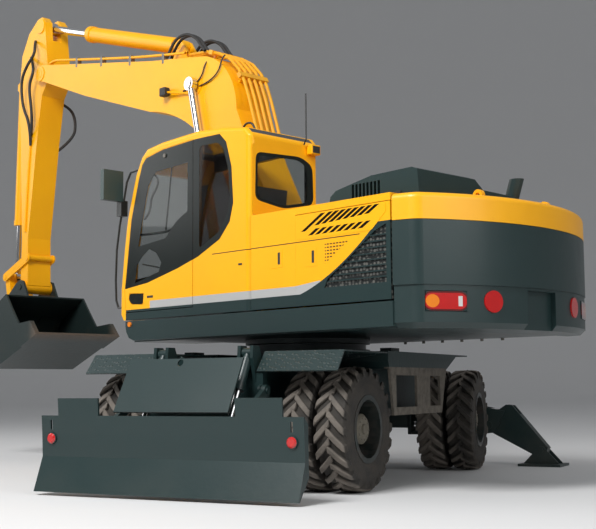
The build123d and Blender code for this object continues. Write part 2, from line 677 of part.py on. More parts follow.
def blade_bar(low, high, rise):
    """One arm or link of the blade's parallelogram, between its two eyes."""
    pivot = (BLADE_ARM_PIVOT[0], BLADE_ARM_PIVOT[1] + rise)
    tip = (BLADE_ARM_TIP[0], BLADE_ARM_TIP[1] + rise)
    view = side(LOWER, (low + high) / 2)
    plane = ram_plane(view, pivot, tip)
    length = distance(pivot, tip)
    width = high - low
    with Locations(plane.location * Pos(length / 2, 0, 0)):
        Box(length, 70, width)
    for x, radius in ((0, 28), (length, 26)):
        cross_pin(plane, x, 0, 50, width)
        cross_pin(plane, x, 0, radius + FIT, width + 2, Mode.SUBTRACT)


with BuildPart() as blade_arms:
    for low, high in both_sides(*BLADE_ARM_Y):
        blade_bar(low, high, 0)
    tube = swung((BLADE_ARM_PIVOT[0] + 250, BLADE_ARM_PIVOT[1]), BLADE_ARM_PIVOT, slope(BLADE_ARM_PIVOT, BLADE_ARM_TIP))
    bar_y(LOWER, *tube, 45, (-BLADE_ARM_Y[0] - 2, BLADE_ARM_Y[0] + 2))
    for centre in (-BLADE_RAM_Y, BLADE_RAM_Y):
        for low, high in ((centre - 60, centre - 40), (centre + 40, centre + 60)):
            pin_x, pin_z = BLADE_RAM_PIN
            slab_y(
                LOWER,
                [(tube[0] - 45, tube[1]), (pin_x - 50, pin_z + 20), (pin_x, pin_z + 50)]
                + [(pin_x + 50, pin_z + 20), (tube[0] + 45, tube[1])],
                low,
                high,
            )
keep(blade_arms.part, "blade_arms")
with BuildPart() as blade_links:
    for low, high in both_sides(*BLADE_ARM_Y):
        blade_bar(low, high, BLADE_LINK_RISE)
keep(blade_links.part, "blade_links")

BLADE_RAM = ram_lengths(BLADE_RAM_BASE, BLADE_RAM_PIN, BLADE_ARM_PIVOT, BLADE_LOW, BLADE_HIGH)
with BuildPart() as blade_barrels:
    for y in (-BLADE_RAM_Y, BLADE_RAM_Y):
        ram_barrel(ram_plane(side(LOWER, y), BLADE_RAM_BASE, BLADE_RAM_PIN), BLADE_RAM, 44, 26, 42, 84, 28)
keep(blade_barrels.part, "blade_barrels")
with BuildPart() as blade_rods:
    for y in (-BLADE_RAM_Y, BLADE_RAM_Y):
        ram_rod(ram_plane(side(LOWER, y), BLADE_RAM_BASE, BLADE_RAM_PIN), BLADE_RAM, 26, 40, 64, 20, 72)
keep(blade_rods.part, "blade_rods")

# ---------------------------------------------------------------- upper frame
BOOM_FOOT_EAR = (BOOM_HALF_WIDTH + GAP, BOOM_HALF_WIDTH + GAP + 30)
DECK_PLAN = [(DECK_NOSE_X, 380), (1290, 380), (1290, 1180), (TAIL_FRONT_X, 1180)]
RAM_EYE_HALF = 28
# The dark skirt under the side panels, its front corner rounded
SKIRT = [(TAIL_FRONT_X, 1348), (1210, 1352), (1290, 1380), (1335, 1440), (1350, 1500), (1350, 1548)]
SKIRT += [(TAIL_FRONT_X, 1548)]
SKIRT_INNER_Y = BODY_HALF_WIDTH - 100
with BuildPart() as upper_frame:
    slab_z(UPPER, DECK_PLAN + mirrored(DECK_PLAN)[::-1], DECK_BOTTOM + 30, DECK_TOP)
    for low, high in both_sides(SKIRT_INNER_Y, BODY_HALF_WIDTH):
        slab_y(UPPER, SKIRT, low, high)
    bar_z(UPPER, 0, 0, RING_R, (RING_TOP + GAP, DECK_TOP))
    for low, high in both_sides(*BOOM_FOOT_EAR):
        slab_y(
            UPPER,
            [(-900, 1400), (-160, 2040), (20, 2090), (140, 2020), (430, 1400)],
            low,
            high,
        )
    bar_y(UPPER, *BOOM_FOOT, 60, (-BOOM_FOOT_EAR[1] - 8, BOOM_FOOT_EAR[1] + 8))
    inner_ear = BOOM_RAM_Y - RAM_EYE_HALF - GAP
    outer_ear = BOOM_RAM_Y + RAM_EYE_HALF + GAP
    base_x, base_z = BOOM_RAM_BASE
    for ear in ((inner_ear - 20, inner_ear), (outer_ear, outer_ear + 20)):
        for low, high in both_sides(*ear):
            slab_y(
                UPPER,
                [(base_x - 180, 1400), (base_x - 70, base_z + 30), (base_x, base_z + 70)]
                + [(base_x + 50, base_z + 50), (base_x + 65, base_z), (DECK_NOSE_X, 1400)],
                low,
                high,
            )
    for low, high in both_sides(inner_ear - 20, outer_ear + 20):
        bar_y(UPPER, *BOOM_RAM_BASE, 40, (low, high))
keep(upper_frame.part, "upper_frame")

# Counterweight: a drum section about the slew axis with rounded corners. Its foot stands back
# a little below a crease, and a crowned band closes its top above a groove.
TAIL_HALF = 1190
TAIL_SIDE_X = -2440
TAIL_CORNER_R = 160
TAIL_CREASE_Z = 1670
TAIL_SET_BACK = 14
BAND_BOTTOM = 2185
BAND_GAP = 4
LIFTING_EYE = (-2515, 2435)
LIFTING_EYE_Y = 470
LIFTING_EYE_R = 22
TAIL_LAMP_Y, TAIL_LAMP_Z = (800, 1150), (1462, 1618)
REFLECTOR_Y, REFLECTOR_Z, REFLECTOR_R = 575, 1544, 88


def tail_slab(set_back, low, high):
    """Layer of the counterweight between two heights, its faces set back by an amount."""
    side_y = TAIL_HALF + 55 - set_back
    corner_y = TAIL_HALF - set_back
    with BuildSketch(level(UPPER, low)) as plan:
        with BuildLine():
            Polyline(
                (TAIL_SIDE_X, corner_y), (TAIL_FRONT_X, side_y), (TAIL_FRONT_X, -side_y),
                (TAIL_SIDE_X, -corner_y),
            )
            ThreePointArc((TAIL_SIDE_X, -corner_y), (set_back - TAIL_R, 0), (TAIL_SIDE_X, corner_y))
        make_face()
        fillet(plan.vertices().group_by(Axis.X)[0], TAIL_CORNER_R - set_back)
    extrude(plan.sketch, amount=high - low, dir=UPPER.z_dir)


TAIL_ARC_R = ((TAIL_HALF**2) + (TAIL_R + TAIL_SIDE_X) ** 2) / (2 * (TAIL_R + TAIL_SIDE_X))
TAIL_ARC_X = TAIL_ARC_R - TAIL_R  # centre of the curved rear face


def tail_face(y, z):
    """Plane on the rear face below the crease: first axis along it, third outwards."""
    turn = atan2(y, ((TAIL_ARC_R**2) - (y**2)) ** 0.5)
    reach = TAIL_ARC_R - TAIL_SET_BACK
    origin = UPPER.from_local_coords((TAIL_ARC_X - reach * cos(turn), reach * sin(turn), z))
    return Plane(origin, x_dir=(sin(turn), cos(turn), 0), z_dir=(-cos(turn), sin(turn), 0))


LAMP_SIZE = (TAIL_LAMP_Y[1] - TAIL_LAMP_Y[0], TAIL_LAMP_Z[1] - TAIL_LAMP_Z[0])
TAIL_LAMPS = [tail_face(side_sign * sum(TAIL_LAMP_Y) / 2, sum(TAIL_LAMP_Z) / 2) for side_sign in SIDES.values()]
REFLECTORS = [tail_face(side_sign * REFLECTOR_Y, REFLECTOR_Z) for side_sign in SIDES.values()]
with BuildPart() as counterweight:
    tail_slab(TAIL_SET_BACK, TAIL_BOTTOM, TAIL_CREASE_Z)
    bottom = counterweight.faces().sort_by(Axis.Z)[0].edges().filter_by(GeomType.CIRCLE)
    chamfer(bottom, 45)
    tail_slab(0, BAND_BOTTOM, TAIL_TOP)
    rim = counterweight.faces().sort_by(Axis.Z)[-1].edges().filter_by(GeomType.CIRCLE)
    fillet(rim, 45)
    tail_slab(0, TAIL_CREASE_Z, BAND_BOTTOM - BAND_GAP)
    tail_slab(40, BAND_BOTTOM - 50, BAND_BOTTOM + 50)
    block(UPPER, (-3000, -2730), (-200, 200), (1300, 1650), Mode.SUBTRACT)
    for face in TAIL_LAMPS:
        with Locations(face.location * Pos(0, 0, -10)):
            Box(LAMP_SIZE[0] + 8, LAMP_SIZE[1] + 8, 60, mode=Mode.SUBTRACT)
    for face in REFLECTORS:
        with Locations(face.location * Pos(0, 0, -5)):
            Cylinder(REFLECTOR_R + 2, 20, mode=Mode.SUBTRACT)
    for y in (-LIFTING_EYE_Y, LIFTING_EYE_Y):
        eye_x, eye_z = LIFTING_EYE
        bar_y(UPPER, *LIFTING_EYE, 48, (y - 20, y + 20))
        block(UPPER, (eye_x - 48, eye_x + 48), (y - 20, y + 20), (TAIL_TOP - 10, eye_z))
        bar_y(UPPER, *LIFTING_EYE, LIFTING_EYE_R, (y - 25, y + 25), Mode.SUBTRACT)
keep(counterweight.part, "counterweight")

# ---------------------------------------------------------------- engine house
with BuildPart() as engine_block:
    block(UPPER, (-2100, -1250), (-450, 550), (DECK_TOP, 2200))
keep(engine_block.part, "engine_block")

HOUSE_BOTTOM = DECK_TOP
SIDE_BOTTOM = 1562
with BuildPart() as house_shell:
    # left front panel, bulkhead, roof rails; the doors close what is open between them
    block(UPPER, (HOUSE_SPLIT_X + 4, CAB_REAR_X - 10), (300, BODY_HALF_WIDTH), (HOUSE_BOTTOM, HOUSE_TOP))
    block(
        UPPER,
        (HOUSE_SPLIT_X + 4 + HOUSE_WALL, CAB_REAR_X - 10 - HOUSE_WALL),
        (300 + HOUSE_WALL, BODY_HALF_WIDTH - HOUSE_WALL),
        (HOUSE_BOTTOM - 1, HOUSE_TOP - HOUSE_WALL),
        Mode.SUBTRACT,
    )
    block(UPPER, (HOUSE_SPLIT_X + 4, -905), (-300, 300), (HOUSE_BOTTOM, HOUSE_TOP))
    half = BODY_HALF_WIDTH
    block(UPPER, (HOUSE_REAR_X, -1140), (-half, half), (HOUSE_TOP - 60, HOUSE_TOP))
    block(UPPER, (-1145, HOUSE_SPLIT_X + 4), (-half, half), (HOUSE_BOTTOM, HOUSE_TOP))
    for low, high in both_sides(SKIRT_INNER_Y - GAP, half + 1):
        block(UPPER, (HOUSE_REAR_X, CAB_REAR_X), (low, high), (HOUSE_BOTTOM - 1, SIDE_BOTTOM), Mode.SUBTRACT)
    block(UPPER, (-2200, -1400), (-230, 1020), (HOUSE_TOP - 61, HOUSE_TOP + 1), Mode.SUBTRACT)
keep(house_shell.part, "house_shell")

GRILLE = [(-1490, 1700), (-2185, 1700), (-2185, 2165), (-2060, 2120), (-1880, 2000), (-1700, 1875), (-1530, 1775)]
GRILLE_DEPTH = 18
GRILLE_BAR_PITCH = 48
VENT_LEAN = 70  # how far a vent slot leans forward from its foot to its head
# (foot's x, foot's z, height) of the first slot of each row, and the number of slots in it
VENT_ROWS = [((-1290, 2245, 75), 12), ((-1255, 2150, 70), 11)]
VENT_PITCH = 50
VENT_WIDTH = 24
for side_name, side_sign in SIDES.items():
    with BuildPart() as engine_door:
        low, high = span(side_sign, BODY_HALF_WIDTH - HOUSE_WALL, BODY_HALF_WIDTH)
        block(UPPER, (HOUSE_REAR_X + 4, -1140 - DOOR_GAP), (low, high), (SIDE_BOTTOM, HOUSE_TOP - 66))
        low, high = span(side_sign, BODY_HALF_WIDTH - GRILLE_DEPTH, BODY_HALF_WIDTH + 1)
        slab_y(UPPER, GRILLE, low, high, Mode.SUBTRACT)
        low, high = span(side_sign, BODY_HALF_WIDTH - GRILLE_DEPTH - 1, BODY_HALF_WIDTH - 3)
        for step in range(1, 9):
            z = 1700 + step * GRILLE_BAR_PITCH
            front = max(-1520 - 1.45 * (z - 1745), -2150)
            block(UPPER, (-2186, front), (low, high), (z - 5, z + 5))
        low, high = span(side_sign, BODY_HALF_WIDTH - HOUSE_WALL - 1, BODY_HALF_WIDTH + 1)
        for (foot_x, foot_z, rise), count in VENT_ROWS:
            for step in range(count):
                x = foot_x - step * VENT_PITCH
                slot = [(x - VENT_LEAN, foot_z), (x - VENT_LEAN - VENT_WIDTH, foot_z)]
                slot += [(x - VENT_WIDTH, foot_z + rise), (x, foot_z + rise)]
                slab_y(UPPER, slot, low, high, Mode.SUBTRACT)
    keep(engine_door.part, f"engine_door_{side_name}")

HOOD_Y = (-240, 1050)
HOOD_SIDE = [(-1350, 2416), (-1375, 2500), (-1440, 2545), (-1850, 2622), (-2290, 2632), (-2350, 2610)]
HOOD_SIDE += [(-2365, 2416)]
HOOD_WALL = 18
LOUVRES = 8
with BuildPart() as engine_hood:
    slab_y(UPPER, HOOD_SIDE, *HOOD_Y)
    # the right-hand corner of the top is cut down towards the exhaust
    slab_x(UPPER, [(420, 2700), (-300, 2700), (-300, 2520), (200, 2530)], -2400, -1300, Mode.SUBTRACT)
    inner = [(-1372, 2410), (-1392, 2490), (-1450, 2528), (-1850, 2602), (-2280, 2612), (-2332, 2595)]
    inner += [(-2345, 2410)]
    slab_y(UPPER, inner, 250, HOOD_Y[1] - HOOD_WALL, Mode.SUBTRACT)
    slab_y(
        UPPER,
        [(-1372, 2410), (-1392, 2490), (-1460, 2505), (-2330, 2505), (-2345, 2410)],
        HOOD_Y[0] + HOOD_WALL,
        251,
        Mode.SUBTRACT,
    )
    for step in range(LOUVRES):
        x = -1640 - step * 42
        block(UPPER, (x - 13, x + 13), (HOOD_Y[1] - HOOD_WALL - 1, HOOD_Y[1] + 1), (2440, 2570), Mode.SUBTRACT)
keep(engine_hood.part, "engine_hood")

STACK_LENGTH = 420
with BuildPart() as exhaust_cover:
    slab_y(UPPER, [(-1350, HOUSE_TOP), (-1350, 2470), (-1850, 2500), (-2360, 2490), (-2360, HOUSE_TOP)], -1050, -250)
    # the tail pipe leans back and its mouth is cut level
    stack = Plane(UPPER.from_local_coords((-2150, -430, HOUSE_TOP)), x_dir=UPPER.y_dir, z_dir=(-0.35, 0, 1))
    with Locations(stack.location):
        Cylinder(62, 2 * STACK_LENGTH)
        Cylinder(52, 2 * STACK_LENGTH, mode=Mode.SUBTRACT)
    block(UPPER, (-2700, -1700), (-700, -260), (2712, 3000), Mode.SUBTRACT)
    block(UPPER, (-2700, -1700), (-700, -260), (1800, HOUSE_TOP), Mode.SUBTRACT)
keep(exhaust_cover.part, "exhaust_cover")

# Right-hand side: tool box with steps, fuel tank and hydraulic tank
TANK_WALL = 30
# (rear x, front x, inner y, top, set back from the side) of the hydraulic tank, fuel tank and tool box
TANKS = [(HOUSE_SPLIT_X + 14, 40, -310, HOUSE_TOP, 0), (60, 740, -420, 2200, 0), (760, 1300, -420, 1800, 10)]
with BuildPart() as right_tanks:
    for rear, front, inner_y, top, set_back in TANKS:
        outer_y = set_back - BODY_HALF_WIDTH
        block(UPPER, (rear, front), (outer_y, inner_y), (HOUSE_BOTTOM, top))
        hollow_y = (outer_y + TANK_WALL, inner_y - TANK_WALL)
        hollow_z = (HOUSE_BOTTOM - 1, top - TANK_WALL)
        block(UPPER, (rear + TANK_WALL, front - TANK_WALL), hollow_y, hollow_z, Mode.SUBTRACT)
    foot = (-BODY_HALF_WIDTH - 1, GAP - SKIRT_INNER_Y)
    block(UPPER, (HOUSE_SPLIT_X, 1310), foot, (HOUSE_BOTTOM - 1, SIDE_BOTTOM), Mode.SUBTRACT)
keep(right_tanks.part, "right_tanks")

# ---------------------------------------------------------------- cab
CAB_OUTLINE = [(1380, CAB_FLOOR), (1420, 1620), (1420, 1870), (1370, 2280), (1290, 2780), (1210, 3030)]
CAB_OUTLINE += [(1110, 3200), (1020, 3270), (770, 3300), (220, 3320), (-150, 3290), (-480, 3240)]
CAB_OUTLINE += [(CAB_REAR_X, 3160), (CAB_REAR_X, CAB_FLOOR)]
CAB_INSIDE = [(1330, 1640), (1370, 1870), (1320, 2280), (1240, 2780), (1165, 3010), (1075, 3165)]
CAB_INSIDE += [(1010, 3220), (770, 3250), (220, 3270), (-150, 3240), (-450, 3195), (-510, 3130), (-510, 1640)]
# The dark glazing of the left side sweeps down from the rear quarter to the front pillar
SWEEP = [(-325, 2560), (-275, 2390), (-130, 2240), (190, 2105), (500, 2020), (980, 1915), (1362, 1875)]
GLAZING_TOP = [(1262, 2570), (1140, 2970), (1085, 3110), (1020, 3170), (750, 3215), (200, 3238), (-130, 3230)]
GLAZING_TOP += [(-225, 3140), (-300, 2900)]
DOOR_REAR_X = 270
DOOR_OUTLINE = [(DOOR_REAR_X, 1640), (DOOR_REAR_X, 3240), (750, 3218), (1024, 3176), (1090, 3114)]
DOOR_OUTLINE += [(1146, 2970), (1268, 2570), (1368, 1875), (1340, 1640)]
DOOR_WINDOW = [(330, 2090), (330, 3060), (560, 3090), (870, 3050), (960, 2990), (1035, 2860), (1120, 2570)]
DOOR_WINDOW += [(1195, 2200), (1215, 1960), (980, 1975), (560, 2060)]
DOOR_LIGHT = [(350, 2560), (350, 3030), (860, 3010), (985, 2880), (1075, 2560), (1140, 2290), (700, 2330)]
DOOR_LIGHT += [(520, 2480)]
LOW_LIGHT = [(800, 2010), (760, 2100), (840, 2200), (960, 2250), (1080, 2180), (1165, 2100), (1190, 1925)]
QUARTER_OPENING = [(190, 2160), (190, 3180), (-130, 3170), (-200, 3090), (-265, 2880), (-290, 2580)]
QUARTER_OPENING += [(-240, 2420), (-120, 2290)]
HEAD_POCKET = [(1055, 1705), (1045, 1815), (1290, 1828), (1300, 1760), (1250, 1715)]
GLASS = 6
GLAZING_Y = (CAB_OUT_Y - GLASS, CAB_OUT_Y)
RIGHT_WINDOW = [(1200, 1900), (1240, 2150), (1165, 2560), (1040, 2960), (960, 3115), (-420, 3130)]
RIGHT_WINDOW += [(-420, 2300), (300, 2000)]
WINDSHIELD_Y = (CAB_IN_Y + 70, CAB_OUT_Y - 70)
REAR_WINDOW_Y = (CAB_IN_Y + 70, CAB_OUT_Y - 60)
REAR_WINDOW = [(REAR_WINDOW_Y[0], 2470), (REAR_WINDOW_Y[1], 2560), (REAR_WINDOW_Y[1], 3010)]
REAR_WINDOW += [(REAR_WINDOW_Y[0], 3040)]
HATCH = ((150, 850), (CAB_IN_Y + 130, CAB_OUT_Y - 130))


def grown(points, amount):
    """Outline moved outwards by about an amount, about its middle."""
    middle_x = sum(x for x, z in points) / len(points)
    middle_z = sum(z for x, z in points) / len(points)
    width = max(x for x, z in points) - min(x for x, z in points)
    height = max(z for x, z in points) - min(z for x, z in points)
    wider, taller = 1 + 2 * amount / width, 1 + 2 * amount / height
    return [(middle_x + (x - middle_x) * wider, middle_z + (z - middle_z) * taller) for x, z in points]


def ahead_of_door(points):
    """The points of an outline that lie forward of the door's rear edge."""
    return [point for point in points if point[0] > DOOR_REAR_X]


# The door's share of the sweep, and the rear quarter's, meet with a gap at its rear edge
SWEEP_AT_DOOR = 2084
DOOR_GLAZING = [(DOOR_REAR_X, SWEEP_AT_DOOR)] + ahead_of_door(SWEEP) + ahead_of_door(GLAZING_TOP)
DOOR_GLAZING += [(DOOR_REAR_X, 3236)]
QUARTER_X = DOOR_REAR_X - DOOR_GAP
QUARTER_GLAZING = [(QUARTER_X, 3236)] + [point for point in GLAZING_TOP if point[0] < QUARTER_X]
QUARTER_GLAZING += [point for point in SWEEP if point[0] < QUARTER_X] + [(QUARTER_X, SWEEP_AT_DOOR)]
with BuildPart() as cab_shell:
    slab_y(UPPER, CAB_OUTLINE, CAB_IN_Y, CAB_OUT_Y)
    roof_edges = cab_shell.edges().filter_by(lambda edge: edge.center().Z > 2650 and edge.length > 60)
    fillet([edge for edge in roof_edges if abs(edge.center().Y - SLEW_Y - CAB_OUT_Y) < 1], 45)
    fillet(cab_shell.edges().filter_by(Axis.Z).sort_by(Axis.X)[:2], 60)
    slab_y(UPPER, CAB_INSIDE, CAB_IN_Y + CAB_WALL, CAB_OUT_Y - CAB_WALL, Mode.SUBTRACT)
    outer_wall = (CAB_OUT_Y - CAB_WALL - 1, CAB_OUT_Y + 1)
    slab_y(UPPER, grown(DOOR_OUTLINE, DOOR_GAP), *outer_wall, Mode.SUBTRACT)
    slab_y(UPPER, QUARTER_OPENING, *outer_wall, Mode.SUBTRACT)
    slab_y(UPPER, QUARTER_GLAZING, GLAZING_Y[0], CAB_OUT_Y + 1, Mode.SUBTRACT)
    slab_y(UPPER, RIGHT_WINDOW, CAB_IN_Y - 1, CAB_IN_Y + CAB_WALL + 1, Mode.SUBTRACT)
    slab_y(UPPER, [(1000, 1900), (1600, 1900), (1600, 3060), (900, 3060)], *WINDSHIELD_Y, Mode.SUBTRACT)
    slab_x(UPPER, REAR_WINDOW, CAB_REAR_X - 10, CAB_REAR_X + CAB_WALL + 10, Mode.SUBTRACT)
    block(UPPER, *HATCH, (3200, 3400), Mode.SUBTRACT)
keep(cab_shell.part, "cab_shell")

with BuildPart() as cab_door:
    slab_y(UPPER, DOOR_OUTLINE, CAB_OUT_Y - CAB_WALL, CAB_OUT_Y)
    slab_y(UPPER, DOOR_WINDOW, *outer_wall, Mode.SUBTRACT)
    slab_y(UPPER, DOOR_GLAZING, GLAZING_Y[0], CAB_OUT_Y + 1, Mode.SUBTRACT)
    slab_y(UPPER, HEAD_POCKET, CAB_OUT_Y - 30, CAB_OUT_Y + 1, Mode.SUBTRACT)
keep(cab_door.part, "cab_door")
with BuildPart() as door_frame:
    slab_y(UPPER, DOOR_GLAZING, *GLAZING_Y)
    slab_y(UPPER, DOOR_LIGHT, GLAZING_Y[0] - 1, GLAZING_Y[1] + 1, Mode.SUBTRACT)
    slab_y(UPPER, LOW_LIGHT, GLAZING_Y[0] - 1, GLAZING_Y[1] + 1, Mode.SUBTRACT)
keep(door_frame.part, "door_frame")
with BuildPart() as door_glass:
    slab_y(UPPER, DOOR_LIGHT, *GLAZING_Y)
    slab_y(UPPER, LOW_LIGHT, *GLAZING_Y)
keep(door_glass.part, "door_glass")

with BuildPart() as cab_glass:
    slab_y(UPPER, QUARTER_GLAZING, *GLAZING_Y)
    slab_y(UPPER, RIGHT_WINDOW, CAB_IN_Y + 20, CAB_IN_Y + 20 + GLASS)
    slab_x(UPPER, REAR_WINDOW, CAB_REAR_X + 12, CAB_REAR_X + 12 + GLASS)
    front = [(1416, 1900), (1370, 2276), (1290, 2776), (1206, 3060)]
    slab_y(UPPER, [(x - 20, z) for x, z in front] + [(x - 26, z) for x, z in reversed(front)], *WINDSHIELD_Y)
    block(UPPER, *HATCH, (3280, 3286))
keep(cab_glass.part, "cab_glass")

SEAT_Y = 820
CAB_DECK = 1640
with BuildPart() as cab_interior:
    block(UPPER, (-380, 300), (SEAT_Y - 250, SEAT_Y + 250), (CAB_DECK, 1900))
    block(UPPER, (-250, 250), (SEAT_Y - 240, SEAT_Y + 240), (1900, 2060))
    slab_y(UPPER, [(-260, 2000), (-130, 2000), (-230, 2750), (-340, 2740)], SEAT_Y - 230, SEAT_Y + 230)
    for low, high in both_sides(260, 360):
        block(UPPER, (-150, 330), (SEAT_Y + low, SEAT_Y + high), (CAB_DECK, 2160))
    slab_y(UPPER, [(1100, CAB_DECK), (1180, CAB_DECK), (960, 2280), (890, 2260)], SEAT_Y - 40, SEAT_Y + 40)
    wheel_plane_here = Plane(UPPER.from_local_coords((905, SEAT_Y, 2300)), x_dir=UPPER.y_dir, z_dir=(-0.3, 0, 1))
    with BuildSketch(wheel_plane_here) as rim_outline:
        RegularPolygon(186, 20)
        RegularPolygon(158, 20, mode=Mode.SUBTRACT)
        Rectangle(330, 36)
    extrude(rim_outline.sketch, amount=12, both=True)
keep(cab_interior.part, "cab_interior")

# ---------------------------------------------------------------- lamps, mirrors, rails
with BuildPart() as lamps:
    # amber side marker at the skirt's front corner
    bar_y(UPPER, 1270, 1515, 26, (BODY_HALF_WIDTH, BODY_HALF_WIDTH + 14))
    # rear lamps and round reflectors in the counterweight's pockets
    for face in TAIL_LAMPS:
        with Locations(face.location * Pos(0, 0, -17)):
            Box(*LAMP_SIZE, 44)
    for face in REFLECTORS:
        with Locations(face.location):
            Cylinder(REFLECTOR_R, 28)
keep(lamps.part, "lamps")


def tube(points, radius):
    """Tube of eight flats through points in the upper half's frame."""
    with BuildLine() as route:
        Polyline(*[UPPER.from_local_coords(point) for point in points])
    with BuildSketch(Plane(route.line @ 0, z_dir=route.line % 0)) as section:
        RegularPolygon(radius, 8)
    sweep(section.sketch, path=route.line, transition=Transition.RIGHT)


MIRROR_Y = 1190
MIRROR_BRACKET = [(1184, 3093), (1364, 3081), (1433, 2987), (1500, 2734), (1551, 2552), (1600, 2297)]
MIRROR_BRACKET += [(1613, 1986), (1600, 1778), (1560, 1700), (1424, 1688)]
with BuildPart() as mirrors_and_rails:
    # grab rail over the tanks
    tube([(500, -1200, 2201), (500, -1200, 2500), (-300, -1200, 2500), (-300, -1200, HOUSE_TOP + 1)], 16)
    # mirror on its long bracket ahead of the cab's left pillar
    tube([(x, MIRROR_Y, z) for x, z in MIRROR_BRACKET], 11)
    block(UPPER, (1475, 1535), (MIRROR_Y + 15, MIRROR_Y + 255), (2790, 3105))
    block(UPPER, (1465, 1545), (MIRROR_Y - 35, MIRROR_Y + 45), (2640, 2800))
    # aerial and the lamp box at the cab's rear corners
    tube([(-570, 585, 3150), (-600, 585, 3200), (-600, 585, 3640)], 7)
keep(mirrors_and_rails.part, "mirrors_and_rails")

# ---------------------------------------------------------------- boom
PIPE_ROUTE = [(1740, 4605), (1400, 4570), (1180, 4500), (1000, 4400), (860, 4260), (770, 4110), (700, 3930)]
PIPE_ROUTE += [(560, 3500)]
# middle (x, z) of each clamp on the pipes over the knee, and its lean in degrees
PIPE_CLAMPS = [((1290, 4535), 17.6), ((815, 4185), 59)]
BOSS = (BOOM_HALF_WIDTH - 2, BOOM_HALF_WIDTH + 10)
with BuildPart() as boom:
    with BuildSketch(side(UPPER)) as outline:
        with BuildLine():
            Polyline((20, 1800), (140, 1850), (900, 2870))
            ThreePointArc((900, 2870), (1400, 3615), (2340, 4050))
            Polyline((2340, 4050), (3700, 4500), (4640, 4860), (4870, 4930), (4870, 5060), (4740, 5110))
            Polyline((4740, 5110), (4215, 5007), (2340, 4650), (1420, 4505))
            ThreePointArc((1420, 4505), (1010, 4300), (810, 3810))
            Polyline((810, 3810), (540, 3210), (-100, 2010), (-110, 1880), (20, 1800))
        make_face()
    extrude(outline.sketch, amount=BOOM_HALF_WIDTH, both=True)
    bar_y(UPPER, *BOOM_TIP, 450, (-ARM_HALF_WIDTH - GAP, ARM_HALF_WIDTH + GAP), Mode.SUBTRACT)
    bar_y(UPPER, *BOOM_TIP, 50, (-BOOM_HALF_WIDTH - 12, BOOM_HALF_WIDTH + 12))
    bar_y(UPPER, *BOOM_FOOT, 60 + FIT, (-300, 300), Mode.SUBTRACT)
    bar_y(UPPER, *BOOM_RAM_PIN, 110, (-BOOM_HALF_WIDTH - 8, BOOM_HALF_WIDTH + 8))
    for low, high in both_sides(48, 78):
        base_x, base_z = ARM_RAM_BASE
        slab_y(
            UPPER,
            [(base_x - 260, 4560), (base_x - 70, base_z + 40), (base_x, base_z + 80)]
            + [(base_x + 60, base_z + 40), (base_x + 150, 4600)],
            low,
            high,
        )
    bar_y(UPPER, *ARM_RAM_BASE, 40, (-84, 84))
    for low, high in both_sides(*BOSS):
        bar_y(UPPER, *BOOM_TIP, 95, (low, high))
    for (x, z), lean in PIPE_CLAMPS:
        post = side(UPPER).location * Pos(x, z, 0) * Rot(0, 0, lean) * Pos(0, -24 - 70, 0)
        for y in (-120, 120):
            with Locations(post * Pos(0, 0, y)):
                Box(30, 140, 30)
keep(boom.part, "boom")

BOOM_RAM = ram_lengths(BOOM_RAM_BASE, BOOM_RAM_PIN, BOOM_FOOT, BOOM_LOW, BOOM_HIGH)
with BuildPart() as boom_barrels:
    for y in (-BOOM_RAM_Y, BOOM_RAM_Y):
        ram_barrel(ram_plane(side(UPPER, y), BOOM_RAM_BASE, BOOM_RAM_PIN), BOOM_RAM, 60, 42, 70, 56, 40)
keep(boom_barrels.part, "boom_barrels")
with BuildPart() as boom_rods:
    for y in (-BOOM_RAM_Y, BOOM_RAM_Y):
        ram_rod(ram_plane(side(UPPER, y), BOOM_RAM_BASE, BOOM_RAM_PIN), BOOM_RAM, 42, 75, 70, 45, 90)
keep(boom_rods.part, "boom_rods")

with BuildPart() as boom_pipes:
    for y in (-160, -80, 0, 80, 160):
        tube([(x, y, z) for x, z in PIPE_ROUTE], 18)
    for (x, z), lean in PIPE_CLAMPS:
        with Locations(side(UPPER).location * Pos(x, z, 0) * Rot(0, 0, lean)):
            Box(60, 48, 400)
keep(boom_pipes.part, "boom_pipes")

